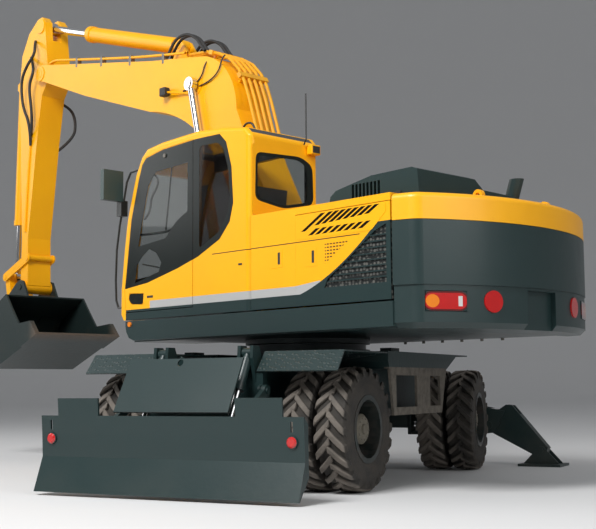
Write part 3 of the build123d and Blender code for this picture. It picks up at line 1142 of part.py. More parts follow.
# ---------------------------------------------------------------- arm
ARM_OUTLINE = [(4770, 5600), (4775, 5720), (4850, 5800), (4960, 5790), (5180, 5640), (5350, 5370)]
ARM_OUTLINE += [(5410, 4860), (5340, 4070), (5300, 3380), (5272, 2840), (5285, 2240), (5240, 2150)]
ARM_OUTLINE += [(5150, 2140), (5100, 2240), (5120, 2860), (5040, 3400), (4950, 4060), (4830, 4730)]
ARM_OUTLINE += [(4720, 4870), (4640, 4940), (4630, 5040), (4700, 5120)]
ARM_FORK_Z = 5480  # above this the arm is open in the middle, for its ram
with BuildPart() as arm:
    slab_y(UPPER, ARM_OUTLINE, -ARM_HALF_WIDTH, ARM_HALF_WIDTH)
    bar_y(UPPER, *ARM_TIP, 88, (-ARM_TIP_HALF_WIDTH, ARM_TIP_HALF_WIDTH))
    bar_y(UPPER, *BOOM_TIP, 130, (-ARM_HALF_WIDTH, ARM_HALF_WIDTH))
    bar_y(UPPER, *BOOM_TIP, 50 + FIT, (-200, 200), Mode.SUBTRACT)
    block(UPPER, (4500, 5500), (-62, 62), (ARM_FORK_Z, 5900), Mode.SUBTRACT)
    bar_y(UPPER, *ARM_RAM_PIN, 95, (ARM_HALF_WIDTH - 1, ARM_HALF_WIDTH + 14))
    bar_y(UPPER, *ARM_RAM_PIN, 95, (-ARM_HALF_WIDTH - 14, -ARM_HALF_WIDTH + 1))
    bar_y(UPPER, *ROCKER_PIVOT, 38, (-ARM_HALF_WIDTH - 38, ARM_HALF_WIDTH + 38))
    for low, high in both_sides(46, 72):
        base_x, base_z = BUCKET_RAM_BASE
        slab_y(
            UPPER,
            [(5380, 5160), (base_x - 10, base_z + 75), (base_x + 60, base_z + 50), (base_x + 70, base_z - 30)]
            + [(base_x + 10, base_z - 75), (base_x - 80, base_z - 80), (5390, 4830)],
            low,
            high,
        )
    bar_y(UPPER, *BUCKET_RAM_BASE, 35, (-78, 78))
    bar_y(UPPER, *ARM_TIP, 40 + FIT, (-300, 300), Mode.SUBTRACT)
keep(arm.part, "arm")

ARM_RAM = ram_lengths(ARM_RAM_BASE, ARM_RAM_PIN, BOOM_TIP, ARM_LOW, ARM_HIGH)
ARM_RAM_PLANE = ram_plane(side(UPPER), ARM_RAM_BASE, ARM_RAM_PIN)
with BuildPart() as arm_barrel:
    ram_barrel(ARM_RAM_PLANE, ARM_RAM, 95, 50, 75, 86, 40)
keep(arm_barrel.part, "arm_barrel")
with BuildPart() as arm_rod:
    ram_rod(ARM_RAM_PLANE, ARM_RAM, 50, 85, 106, 45, 114)
keep(arm_rod.part, "arm_rod")

ROCKER_LOW, ROCKER_HIGH = -30, 62
BUCKET_RAM = ram_lengths(BUCKET_RAM_BASE, ROCKER_PIN, ROCKER_PIVOT, ROCKER_LOW, ROCKER_HIGH)
BUCKET_RAM_PLANE = ram_plane(side(UPPER), BUCKET_RAM_BASE, ROCKER_PIN)
with BuildPart() as bucket_barrel:
    ram_barrel(BUCKET_RAM_PLANE, BUCKET_RAM, 75, 42, 65, 82, 35)
keep(bucket_barrel.part, "bucket_barrel")
with BuildPart() as bucket_rod:
    ram_rod(BUCKET_RAM_PLANE, BUCKET_RAM, 42, 65, 96, 35, 104)
keep(bucket_rod.part, "bucket_rod")

ROCKER_Y = (ARM_HALF_WIDTH + GAP + 1, ARM_HALF_WIDTH + GAP + 21)
with BuildPart() as rocker:
    plane = ram_plane(side(UPPER), ROCKER_PIVOT, ROCKER_PIN)
    length = distance(ROCKER_PIVOT, ROCKER_PIN)
    for low, high in both_sides(*ROCKER_Y):
        view = plane.offset(-low)
        with BuildSketch(view) as plate:
            with Locations((length / 2, 0)):
                SlotCenterToCenter(length, 110)
            with Locations((0, 0)):
                Circle(38 + FIT, mode=Mode.SUBTRACT)
        extrude(plate.sketch, amount=high - low, dir=-plane.z_dir)
    bar_y(UPPER, *ROCKER_PIN, 35, (-ROCKER_Y[1] - 5, -60))
    bar_y(UPPER, *ROCKER_PIN, 35, (60, ROCKER_Y[1] + 5))
keep(rocker.part, "rocker")

LINK_HALF = 165
with BuildPart() as bucket_link:
    plane = ram_plane(side(UPPER), ROCKER_PIN, BUCKET_LINK_PIN)
    length = distance(ROCKER_PIN, BUCKET_LINK_PIN)
    with BuildSketch(plane) as outline:
        with Locations((length / 2, 0)):
            SlotCenterToCenter(length, 110)
    extrude(outline.sketch, amount=LINK_HALF, both=True)
    cross_pin(plane, 0, 0, 110, 116, Mode.SUBTRACT)
    cross_pin(plane, 0, 0, 35 + FIT, 2 * LINK_HALF + 2, Mode.SUBTRACT)
    cross_pin(plane, length, 0, 34, 2 * LINK_HALF + 16)
keep(bucket_link.part, "bucket_link")

# ---------------------------------------------------------------- bucket
CUTTER = 30
BUCKET_EAR = (ARM_TIP_HALF_WIDTH + GAP, ARM_TIP_HALF_WIDTH + GAP + 28)
with BuildPart() as bucket:
    with BuildSketch(side(UPPER)) as outline:
        with BuildLine():
            Polyline((4130, 1545), (4280, 1715), (4600, 1690), (4780, 1900), (4930, 2085), (5400, 1850))
            ThreePointArc((5400, 1850), (5590, 1480), (5180, 1140))
            Polyline((5180, 1140), (4130, 1545))
        make_face()
    extrude(outline.sketch, amount=BUCKET_HALF_WIDTH, both=True)
    with BuildSketch(side(UPPER)) as inside:
        with BuildLine():
            Polyline((4150, 1562), (4200, 1700), (4600, 1900), (4900, 2140), (4930, 2062), (5385, 1834))
            ThreePointArc((5385, 1834), (5569, 1480), (5183, 1163))
            Polyline((5183, 1163), (4150, 1562))
        make_face()
    extrude(inside.sketch, amount=BUCKET_HALF_WIDTH - BUCKET_SIDE, both=True, mode=Mode.SUBTRACT)
    for low, high in both_sides(BUCKET_HALF_WIDTH - 1, BUCKET_HALF_WIDTH + CUTTER):
        slab_y(UPPER, [(4130, 1545), (4500, 1402), (4560, 1560), (4600, 1690), (4280, 1715)], low, high)
    for low, high in both_sides(*BUCKET_EAR):
        slab_y(
            UPPER,
            [(4980, 2050), (5120, 2290), (5200, 2310), (5290, 2270), (5600, 2040), (5630, 1950), (5560, 1880)]
            + [(5480, 1760), (5300, 1880)],
            low,
            high,
        )
    for low, high in both_sides(ARM_TIP_HALF_WIDTH - 190, BUCKET_EAR[1] + 10):
        bar_y(UPPER, *ARM_TIP, 40, (low, high))
    for low, high in both_sides(BUCKET_EAR[0], BUCKET_EAR[1] + 10):
        bar_y(UPPER, *BUCKET_LINK_PIN, 55, (low, high))
keep(bucket.part, "bucket")
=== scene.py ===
import json
import math
import bpy
from mathutils import Matrix, Vector


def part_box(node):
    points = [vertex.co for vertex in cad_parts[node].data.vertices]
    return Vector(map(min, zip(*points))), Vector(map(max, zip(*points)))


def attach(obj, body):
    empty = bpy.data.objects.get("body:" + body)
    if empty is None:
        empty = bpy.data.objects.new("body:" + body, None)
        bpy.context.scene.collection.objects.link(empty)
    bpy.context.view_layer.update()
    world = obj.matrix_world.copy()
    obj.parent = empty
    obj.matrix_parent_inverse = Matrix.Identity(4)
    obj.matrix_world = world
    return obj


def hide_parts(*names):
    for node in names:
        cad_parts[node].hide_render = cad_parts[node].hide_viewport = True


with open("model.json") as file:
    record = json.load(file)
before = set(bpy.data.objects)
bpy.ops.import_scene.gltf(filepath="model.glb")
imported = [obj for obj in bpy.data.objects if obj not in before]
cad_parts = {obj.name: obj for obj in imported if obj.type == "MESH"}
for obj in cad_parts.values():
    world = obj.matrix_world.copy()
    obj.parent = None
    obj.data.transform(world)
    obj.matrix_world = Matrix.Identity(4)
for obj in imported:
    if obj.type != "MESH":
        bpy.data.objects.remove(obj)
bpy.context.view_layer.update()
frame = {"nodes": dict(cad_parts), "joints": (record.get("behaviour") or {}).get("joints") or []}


# ---------------------------------------------------------------- tyres
# Eight traction tyres in four twin pairs: black rubber moulded with deep leaning lugs, whose tops
# are greyed by dust. Each tyre is held on its own rim by its beads and its air.
class Shade:
    """A value or vector in a finish; sums and products of these add Math nodes."""

    def __init__(self, finish, socket):
        self.finish = finish
        self.socket = socket

    def math(self, operation, *others):
        values = dict(enumerate((self,) + others))
        return self.finish.node("ShaderNodeMath", {"operation": operation}, values)

    def __add__(self, other):
        return self.math("ADD", other)

    def __sub__(self, other):
        return self.math("SUBTRACT", other)

    def __mul__(self, other):
        return self.math("MULTIPLY", other)

    def __truediv__(self, other):
        return self.math("DIVIDE", other)

    def __rsub__(self, other):
        return self.finish.node("ShaderNodeMath", {"operation": "SUBTRACT"}, {0: other, 1: self})

    __radd__ = __add__
    __rmul__ = __mul__

    def above(self, limit):
        return self.math("GREATER_THAN", limit)

    def below(self, limit):
        return self.math("LESS_THAN", limit)

    def least(self, other):
        return self.math("MINIMUM", other)

    def most(self, other):
        return self.math("MAXIMUM", other)

    def size(self):
        return self.math("ABSOLUTE")

    def remainder(self, step):
        """Distance past the last whole step, for what repeats evenly."""
        return (self / step).math("FRACT") * step

    def clamped(self):
        return self.finish.node("ShaderNodeClamp", {}, {"Value": self})

    def between(self, low, high):
        """0 below low, 1 above high and smooth between them."""
        settings = {"interpolation_type": "SMOOTHSTEP"}
        values = {"Value": self, "From Min": low, "From Max": high, "To Min": 0.0, "To Max": 1.0}
        return self.finish.node("ShaderNodeMapRange", settings, values)


class Finish:
    """A material and the one Principled shader that it ends in."""

    def __init__(self, name, **uniform):
        self.material = bpy.data.materials.new(name)
        self.material.use_nodes = True
        self.tree = self.material.node_tree
        self.shader = self.tree.nodes["Principled BSDF"]
        for socket_name, value in uniform.items():
            self.shader.inputs[socket_name.replace("_", " ")].default_value = value
        place = self.tree.nodes.new("ShaderNodeTexCoord")
        self.place = Shade(self, place.outputs["Object"])

    def node(self, kind, settings, values, output=0):
        """A node with its settings made first, then the values or links of its sockets."""
        made = self.tree.nodes.new(kind)
        for name, value in settings.items():
            setattr(made, name, value)
        for key, value in values.items():
            socket = made.inputs[key]
            if isinstance(value, Shade):
                self.tree.links.new(value.socket, socket)
            else:
                socket.default_value = value
        return Shade(self, made.outputs[output])

    def noise(self, scale, detail=4.0):
        values = {"Vector": self.place, "Scale": scale, "Detail": detail, "Roughness": 0.6}
        return self.node("ShaderNodeTexNoise", {}, values)

    def cells(self, scale, randomness):
        """Distance from the nearest of many points, which are evenly spread where not random."""
        values = {"Vector": self.place, "Scale": scale, "Randomness": randomness}
        return self.node("ShaderNodeTexVoronoi", {"feature": "F1"}, values)

    def blend(self, share, first, second):
        """Colour between two others."""
        settings = {"data_type": "RGBA", "clamp_factor": True}
        return self.node("ShaderNodeMix", settings, {0: share, 6: first, 7: second}, output=2)

    def part_of_place(self, axis):
        return self.node("ShaderNodeSeparateXYZ", {}, {0: self.place}, output=axis)

    def upper_place(self):
        """x and y from the slew axis, and the height, on a piece of the upper half."""
        return self.part_of_place(0) - slew.x, self.part_of_place(1) - slew.y, self.part_of_place(2)

    def feed(self, name, value):
        self.tree.links.new(value.socket, self.shader.inputs[name])

    def bump(self, height, depth, strength=1.0):
        values = {"Height": height, "Distance": depth, "Strength": strength}
        self.feed("Normal", self.node("ShaderNodeBump", {}, values))


def new_piece(name, points, faces, finish, body):
    """Mesh piece that rides a body."""
    mesh = bpy.data.meshes.new(name)
    mesh.from_pydata([tuple(point) for point in points], [], faces)
    mesh.materials.append(finish.material)
    piece = bpy.data.objects.new(name, mesh)
    bpy.context.collection.objects.link(piece)
    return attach(piece, body)


def about_axle(centre, outwards, forwards):
    """What turns an offset along an axle, a radius and an angle into a point."""

    def place(offset, radius, angle):
        return centre + outwards * offset + (forwards * math.cos(angle) + UPWARDS * math.sin(angle)) * radius

    return place


def turned(profile, sides, place):
    """Points and faces of a closed profile of offsets and radii, turned about an axle."""
    turns = [math.tau * step / sides for step in range(sides)]
    points = [place(offset, radius, turn) for turn in turns for offset, radius in profile]
    count = len(profile)
    faces = []
    for step in range(sides):
        here = step * count
        there = (step + 1) % sides * count
        for corner in range(count):
            after = (corner + 1) % count
            faces.append([here + corner, here + after, there + after, there + corner])
    return points, faces


joints = {joint["name"]: joint for joint in frame["joints"]}
slew = Vector(joints["slew"]["pos_m"])
UPWARDS = Vector((0, 0, 1))
LOWER_TURN = math.radians(108.67)  # the lower half's heading; the boom points along x
TO_BLADE = Vector((math.cos(LOWER_TURN), math.sin(LOWER_TURN), 0))
SIDES = ("left", "right")
AXLES = ("front", "rear")
WHEELS = [(axle, side) for axle in AXLES for side in SIDES]

TYRE_HALF_WIDTH = 0.14
TWIN_PITCH = 0.315
CARCASS_SIDES = 48
# From bead to crown: shares of half the width, and radii.
HALF_CARCASS = [(0.60, 0.258), (0.89, 0.262), (0.96, 0.31), (0.975, 0.38), (0.95, 0.44), (0.86, 0.478)]
HALF_CARCASS += [(0.45, 0.489)]
CROWN_R = 0.491
LUG_COUNT = 22
LUG_TOP_TURN = 0.058  # half the top's length round the tyre, in radians
LUG_FOOT_TURN = 0.075
# Along one lug from the crown to the shoulder: share of half the width and radius of its top, the
# same of its foot, and how far it has leaned, in radians.
LUG = [
    ((-0.10, 0.5205), (-0.10, 0.485), 0.0),
    ((0.42, 0.5205), (0.42, 0.484), -0.15),
    ((0.84, 0.516), (0.84, 0.472), -0.26),
    ((0.985, 0.497), (0.93, 0.450), -0.30),
    ((1.0, 0.455), (0.94, 0.425), -0.31),
]


def carcass():
    """Closed profile of the tyre without its lugs."""
    half = [(share * TYRE_HALF_WIDTH, radius) for share, radius in HALF_CARCASS]
    return half + [(0.0, CROWN_R)] + [(-offset, radius) for offset, radius in reversed(half)]


def tyre(place):
    """Points and faces of one tyre: a turned carcass and two staggered rows of leaning lugs."""
    points, faces = turned(carcass(), CARCASS_SIDES, place)
    for row, across in enumerate((1, -1)):
        for number in range(LUG_COUNT):
            start = math.tau * (number + row / 2) / LUG_COUNT
            first = len(points)
            for (top_share, top_r), (foot_share, foot_r), lean in LUG:
                top, foot = across * top_share * TYRE_HALF_WIDTH, across * foot_share * TYRE_HALF_WIDTH
                points += [place(top, top_r, start + lean + edge * LUG_TOP_TURN) for edge in (-1, 1)]
                points += [place(foot, foot_r, start + lean + edge * LUG_FOOT_TURN) for edge in (1, -1)]
            for step in range(len(LUG) - 1):
                here = first + 4 * step
                for corner in range(4):
                    after = (corner + 1) % 4
                    faces.append([here + corner, here + after, here + 4 + after, here + 4 + corner])
            last = first + 4 * (len(LUG) - 1)
            faces += [[first, first + 1, first + 2, first + 3], [last + 3, last + 2, last + 1, last]]
    return points, faces


for axle in AXLES:
    rubber = Finish(f"dusty_rubber_{axle}")
    hub = Vector(joints[f"{axle}_wheel_left_spin"]["pos_m"])
    forward = (rubber.part_of_place(0) - hub.x) * TO_BLADE.x + (rubber.part_of_place(1) - hub.y) * TO_BLADE.y
    above = rubber.part_of_place(2) - hub.z
    from_axle = (forward * forward + above * above).math("SQRT")
    tread_top = from_axle.between(CROWN_R + 0.001, CROWN_R + 0.017)
    wear = rubber.noise(7.0, 6.0).between(0.25, 0.75)
    film = rubber.blend(wear, (0.022, 0.020, 0.018, 1), (0.060, 0.052, 0.043, 1))
    rubber.feed("Base Color", rubber.blend(tread_top * (wear * 0.5 + 0.5), film, (0.19, 0.165, 0.14, 1)))
    rubber.feed("Roughness", 0.74 + wear * 0.2)
    rubber.bump(rubber.noise(60.0), 0.004)
    for side in SIDES:
        spin = joints[f"{axle}_wheel_{side}_spin"]
        outwards = Vector(spin["axis"])
        forwards = UPWARDS.cross(outwards).normalized()
        if forwards.dot(TO_BLADE) < 0:
            forwards = -forwards
        points, faces = [], []
        for along_axle in (-TWIN_PITCH / 2, TWIN_PITCH / 2):
            centre = Vector(spin["pos_m"]) + outwards * along_axle
            tyre_points, tyre_faces = tyre(about_axle(centre, outwards, forwards))
            faces += [[corner + len(points) for corner in face] for face in tyre_faces]
            points += tyre_points
        pair = new_piece(f"treaded_tyres_{axle}_{side}", points, faces, rubber, f"wheel_{axle}_{side}")
        bevel = pair.modifiers.new("worn edges", "BEVEL")
        bevel.width = 0.004
        bevel.segments = 1
        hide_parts(f"tyres_{axle}_{side}")


# ---------------------------------------------------------------- rims and hubs
# Welded steel rims, dipped and sprayed dark, in pairs on the drum of the planetary hub. Road grime
# dulls them in patches.
nodes = frame["nodes"]


def cover(finish, *names):
    """Give a finish to CAD nodes."""
    for name in names:
        mesh = nodes[name].data
        mesh.materials.clear()
        mesh.materials.append(finish.material)


def soften(width, *names):
    """Round the edges of CAD nodes as pressed or welded plate is."""
    for name in names:
        bevel = nodes[name].modifiers.new("soft edge", "BEVEL")
        bevel.width = width
        bevel.segments = 2
        bevel.limit_method = "ANGLE"
        bevel.angle_limit = math.radians(35)
        bevel.harden_normals = True
        nodes[name].data.shade_smooth()


rim_paint = Finish("rim_paint", Coat_Weight=0.15)
grime = rim_paint.noise(6.0).between(0.35, 0.7)
rim_paint.feed("Base Color", rim_paint.blend(grime, (0.012, 0.019, 0.018, 1), (0.045, 0.038, 0.032, 1)))
rim_paint.feed("Roughness", 0.42 + grime * 0.35)
cover(rim_paint, *[f"rims_{axle}_{side}" for axle, side in WHEELS])
soften(0.004, *[f"rims_{axle}_{side}" for axle, side in WHEELS])


# ---------------------------------------------------------------- hub covers and wheel nuts
# The hub's cast cover stands out of the outer rim under a coat of dry dust, held by a ring of small
# cap screws. Ten plated steel nuts clamp each pair of rims to the hub.
def studs(places, axis, radius, length):
    """Points and faces of hexagons that stand on places and point along an axis."""
    axis = axis.normalized()
    first = axis.orthogonal().normalized()
    second = axis.cross(first)
    points, faces = [], []
    for place in places:
        start = len(points)
        for rise in (0.0, length):
            middle = place + axis * rise
            for turn in (math.tau * corner / 6 for corner in range(6)):
                points.append(middle + (first * math.cos(turn) + second * math.sin(turn)) * radius)
        faces.append([start + 6 + corner for corner in range(6)])
        for corner in range(6):
            after = (corner + 1) % 6
            faces.append([start + corner, start + after, start + 6 + after, start + 6 + corner])
    return points, faces


def ring(centre, axis, radius, count):
    """Points spread evenly on a circle about an axis."""
    first = axis.orthogonal().normalized()
    second = axis.normalized().cross(first)
    turns = [math.tau * step / count for step in range(count)]
    return [centre + (first * math.cos(turn) + second * math.sin(turn)) * radius for turn in turns]


nut_steel = Finish("nut_steel", Metallic=0.8)
plating = nut_steel.noise(40.0)
nut_steel.feed("Base Color", nut_steel.blend(plating, (0.16, 0.15, 0.13, 1), (0.30, 0.28, 0.25, 1)))
nut_steel.feed("Roughness", 0.4 + nut_steel.noise(60.0) * 0.3)
hub_dust = Finish("hub_dust")
caked = hub_dust.noise(14.0)
hub_dust.feed("Base Color", hub_dust.blend(caked, (0.07, 0.07, 0.055, 1), (0.22, 0.19, 0.145, 1)))
hub_dust.feed("Roughness", 0.6 + hub_dust.noise(20.0) * 0.2)
HUB_COVER_SIDES = 40
# Offset from the wheel's middle, and radius: the plug in the cover's middle, then the cover.
HUB_COVER = [(0.262, 0.001), (0.262, 0.040), (0.245, 0.045)]
HUB_COVER += [(0.245, 0.108), (0.225, 0.128), (0.10, 0.128), (0.10, 0.05)]
# (name, offset from the wheel's middle, circle's radius, count, radius and length of each)
WHEEL_FASTENERS = [
    ("wheel_nuts", 0.012, 0.195, 10, 0.020, 0.026),
    ("hub_screws", 0.244, 0.092, 10, 0.008, 0.008),
]
for axle, side in WHEELS:
    spin = joints[f"{axle}_wheel_{side}_spin"]
    hub = Vector(spin["pos_m"])
    outwards = Vector(spin["axis"]) * (1 if side == "left" else -1)
    body = f"wheel_{axle}_{side}"
    on_hub = about_axle(hub, outwards, UPWARDS.cross(outwards).normalized())
    new_piece(f"hub_cover_{axle}_{side}", *turned(HUB_COVER, HUB_COVER_SIDES, on_hub), hub_dust, body)
    for name, offset, circle_r, count, radius, length in WHEEL_FASTENERS:
        places = ring(hub + outwards * offset, outwards, circle_r, count)
        new_piece(f"{name}_{axle}_{side}", *studs(places, outwards, radius, length), nut_steel, body)


# ---------------------------------------------------------------- lower half
# Axles, chassis, outrigger frame and blade gear: welded plate and castings, sprayed dark green,
# with dust that thickens towards the ground.
DARK_GREEN = (0.011, 0.028, 0.028, 1)
DUST = (0.12, 0.105, 0.085, 1)


def dark_paint(name, dust_top, dust_share):
    """Dark paint that is dusty below a height and clean above it."""
    paint = Finish(name, Coat_Weight=0.08, Coat_Roughness=0.2)
    spread = paint.noise(2.5)
    fall = 1 - paint.part_of_place(2).between(0.0, dust_top)
    dusty = (fall * spread.between(0.3, 0.75) * dust_share).clamped()
    paint.feed("Base Color", paint.blend(dusty, DARK_GREEN, DUST))
    paint.feed("Roughness", 0.38 + dusty * 0.5)
    paint.bump(paint.noise(25.0, 3.0), 0.0015, 0.5)
    return paint


ground_paint = dark_paint("ground_paint", 1.0, 0.25)
cover(ground_paint, "chassis_frame", "fixed_axle", "steer_axle", "knuckle_left", "knuckle_right")
cover(ground_paint, "outrigger_frame", "blade_guard", "blade_arms", "blade_links", "blade_barrels")
cover(ground_paint, *[f"outrigger_{piece}_{side}" for side in SIDES for piece in ("leg", "pad", "barrel")])

# ---------------------------------------------------------------- side steps
# Steps of welded flat bar, bolted to the chassis between the wheels. Boots and stones keep their
# outer bars rubbed and dusty, and the box behind them stays dark.
TO_LOWER_LEFT = Vector((-math.sin(LOWER_TURN), math.cos(LOWER_TURN), 0))
STEP_BARS_OUT = 1.20
STEP_BARS_TOP = 1.05
step_paint = Finish("step_paint")
across_x = (step_paint.part_of_place(0) - slew.x) * TO_LOWER_LEFT.x
across_y = (step_paint.part_of_place(1) - slew.y) * TO_LOWER_LEFT.y
on_bars = (across_x + across_y).size().above(STEP_BARS_OUT)
rubbed = (on_bars * step_paint.part_of_place(2).below(STEP_BARS_TOP)).clamped()
scuffs = step_paint.noise(14.0, 6.0).between(0.25, 0.7)
bar_colour = step_paint.blend(scuffs, (0.10, 0.09, 0.075, 1), (0.19, 0.165, 0.135, 1))
step_paint.feed("Base Color", step_paint.blend(rubbed, DARK_GREEN, bar_colour))
step_paint.feed("Roughness", 0.45 + rubbed * 0.35)
step_paint.bump(step_paint.noise(30.0), 0.002)
cover(step_paint, "side_steps")

# ---------------------------------------------------------------- blade and fenders
# The blade is rolled steel plate in the same dark paint, lightly dusted at its foot, with a round
# red reflector riveted under each slot. The fenders are non-slip plate with raised pips.
cover(dark_paint("blade_paint", 0.5, 0.06), "blade")
fender_paint = dark_paint("fender_paint", 1.0, 0.2)
raised = 1 - fender_paint.cells(28.0, 0.25).between(0.2, 0.4)
fender_paint.feed("Base Color", fender_paint.blend(raised, DARK_GREEN, (0.035, 0.055, 0.053, 1)))
fender_paint.bump(raised, 0.006)
cover(fender_paint, "front_fenders")


def on_lower_half(x, y, z):
    """A point given forward to the blade, to its left and up, in the machine's frame."""
    return Vector((slew.x, slew.y, z)) + TO_BLADE * x + TO_LOWER_LEFT * y


red_lens = Finish("red_lens", Coat_Weight=0.9)
red_depth = red_lens.noise(30.0)
red_lens.feed("Base Color", red_lens.blend(red_depth, (0.45, 0.006, 0.006, 1), (0.60, 0.012, 0.010, 1)))
red_lens.feed("Roughness", 0.15 + red_lens.noise(30.0) * 0.1)
BLADE_FACE = 2.511
REFLECTOR_OUT = 1.145
REFLECTOR_HEIGHT = 0.465
REFLECTOR_R = 0.043
REFLECTOR_TOP_R = 0.030
REFLECTOR_DEPTH = 0.012
REFLECTOR_SIDES = 24
for side in SIDES:
    centre = on_lower_half(BLADE_FACE, REFLECTOR_OUT * (1 if side == "left" else -1), REFLECTOR_HEIGHT)
    foot = ring(centre, TO_BLADE, REFLECTOR_R, REFLECTOR_SIDES)
    top = ring(centre + TO_BLADE * REFLECTOR_DEPTH, TO_BLADE, REFLECTOR_TOP_R, REFLECTOR_SIDES)
    faces = [[REFLECTOR_SIDES + step for step in range(REFLECTOR_SIDES)]]
    for step in range(REFLECTOR_SIDES):
        after = (step + 1) % REFLECTOR_SIDES
        faces.append([step, after, REFLECTOR_SIDES + after, REFLECTOR_SIDES + step])
    new_piece(f"blade_lamp_{side}", foot + top, faces, red_lens, "blade")

# ---------------------------------------------------------------- rods
# Steel rods of the rams and of the steering, ground and hard-chromed, screwed into their eyes.
# The wipers of the barrels keep them bright.
chrome = Finish("chrome_rod", Metallic=1.0)
chrome.feed("Base Color", chrome.blend(chrome.noise(8.0), (0.62, 0.62, 0.63, 1), (0.72, 0.72, 0.72, 1)))
chrome.feed("Roughness", 0.10 + chrome.noise(30.0) * 0.1)
cover(chrome, "steering_rod", "blade_rods", "boom_rods", "arm_rod", "bucket_rod")
cover(chrome, "outrigger_rod_left", "outrigger_rod_right")

# ---------------------------------------------------------------- upper house
# Revolving frame, hood, exhaust cover and tanks: folded and welded sheet steel in the same dark
# paint, cleaner than the lower half. The engine behind the doors is bare cast iron.
house_paint = dark_paint("house_paint", 1.0, 0.1)
cover(house_paint, "upper_frame", "engine_hood", "exhaust_cover", "right_tanks")
soften(0.006, "upper_frame", "right_tanks")
soften(0.012, "engine_hood")
iron = Finish("engine_iron", Metallic=0.6)
iron.feed("Base Color", iron.blend(iron.noise(5.0), (0.05, 0.05, 0.05, 1), (0.12, 0.12, 0.12, 1)))
iron.feed("Roughness", 0.5 + iron.noise(12.0) * 0.3)
cover(iron, "engine_block")

# ---------------------------------------------------------------- boom and arm
# Box sections welded from thick plate and pinned together, with their barrels and links, in thick
# two-coat paint of a warm amber yellow with a soft gloss.
YELLOW = (0.94, 0.44, 0.0, 1)
YELLOW_DEEP = (0.91, 0.41, 0.0, 1)


def yellow_colour(paint):
    return paint.blend(paint.noise(1.2).between(0.3, 0.7), YELLOW, YELLOW_DEEP)


def paint_skin(paint):
    """The gloss of sprayed panels, with the faint ripple of thick paint."""
    paint.feed("Roughness", 0.36 + paint.noise(9.0) * 0.10)
    paint.bump(paint.noise(40.0, 2.0), 0.0005, 0.4)


yellow = Finish("amber_paint", Coat_Weight=0.08, Coat_Roughness=0.15, Specular_IOR_Level=0.35)
yellow.feed("Base Color", yellow_colour(yellow))
paint_skin(yellow)
cover(yellow, "boom", "boom_barrels", "arm", "arm_barrel", "bucket_barrel", "rocker", "bucket_link")
soften(0.012, "boom", "arm")

# ---------------------------------------------------------------- livery
# Pressed panels of cab, house and engine doors: yellow above and dark green below, masked and
# sprayed, and parted by a pale stripe with a hooked tip and by a diagonal up to the tail's band.
BODY_SIDE = 1.25
OUTER_FACE_FROM = 1.17
STRIPE_LOW = 1.662
STRIPE_HIGH = 1.735
STRIPE_FRONT = 0.94
STRIPE_TIP = -1.44
HOOK_FRONT = -1.14
DARK_FRONT = 1.345
HOOK_SLOPE = 0.10
DIAGONAL_FRONT = -1.20
DIAGONAL_SLOPE, DIAGONAL_CURVE = 0.30, 0.33
PANEL_BAND_FOOT = 2.19
PANEL_SEAM = 2.11
SEAM_HALF_WIDTH = 0.004
SEAM_FRONT, SEAM_REAR = -0.02, -1.9
DASH_STEP, DASH_LENGTH = 0.036, 0.024
DASH_ROW, DASH_TALL, DASH_FOOT = 0.027, 0.011, 0.004
GRILLE_FRONT = -1.50
GRILLE_LOW, GRILLE_HIGH, GRILLE_SLOPE = 1.90, 2.075, 0.62
livery = Finish("side_livery", Coat_Weight=0.08, Coat_Roughness=0.15, Specular_IOR_Level=0.35)
along, sideways, height = livery.upper_place()
outer_face = sideways.size().above(OUTER_FACE_FROM)
behind = (DIAGONAL_FRONT - along).most(0.0)
diagonal = STRIPE_LOW + behind * DIAGONAL_SLOPE + behind * behind * DIAGONAL_CURVE
diagonal = diagonal.least(PANEL_BAND_FOOT)
is_dark = height.below(diagonal) * outer_face * along.below(DARK_FRONT)
hook_top = STRIPE_HIGH + (HOOK_FRONT - along).most(0.0) * HOOK_SLOPE
is_stripe = height.above(diagonal) * height.below(hook_top) * outer_face
is_stripe = is_stripe * along.below(STRIPE_FRONT) * along.above(STRIPE_TIP)
seam = (height - PANEL_SEAM).size().below(SEAM_HALF_WIDTH) * outer_face
seam = seam * along.below(SEAM_FRONT) * along.above(SEAM_REAR)
# Rows of dark dashes on the engine's side panels stand for grille holes that are not cut: painted shade of
# the holes.
dash_row = (height - DASH_FOOT).remainder(DASH_ROW).below(DASH_TALL)
dash = along.remainder(DASH_STEP).below(DASH_LENGTH) * dash_row
grille_foot = GRILLE_LOW + (GRILLE_FRONT - along) * GRILLE_SLOPE
in_grille = along.below(GRILLE_FRONT) * height.above(grille_foot) * height.below(GRILLE_HIGH)
hole_shade = dash * in_grille * outer_face
colour = livery.blend(is_dark, yellow_colour(livery), DARK_GREEN)
colour = livery.blend(is_stripe, colour, (0.42, 0.42, 0.41, 1))
# The dark panel seam and the painted shade of the grille holes share one near-black.
colour = livery.blend(seam.most(hole_shade), colour, (0.012, 0.010, 0.008, 1))
# The cab is lined with grey trim, under its stepped roof and behind the windscreen's posts.
ROOF_STEP = -0.10
REAR_ROOF_INSIDE, FRONT_ROOF_INSIDE = 3.233, 3.277
POST_TOP = 3.0
LINING_REAR, LINING_FRONT, WINDSCREEN = -0.53, 0.93, 1.16
LINING_RIGHT, LINING_LEFT = 0.438, 1.203
rear_lining = along.below(ROOF_STEP) * height.below(REAR_ROOF_INSIDE)
front_lining = along.above(ROOF_STEP) * height.below(FRONT_ROOF_INSIDE)
under_roof = rear_lining.most(front_lining) * along.below(LINING_FRONT)
behind_windscreen = along.above(LINING_FRONT) * along.below(WINDSCREEN) * height.below(POST_TOP)
lined = under_roof.most(behind_windscreen) * along.above(LINING_REAR)
lined = lined * sideways.above(LINING_RIGHT) * sideways.below(LINING_LEFT)
colour = livery.blend(lined, colour, (0.055, 0.056, 0.058, 1))
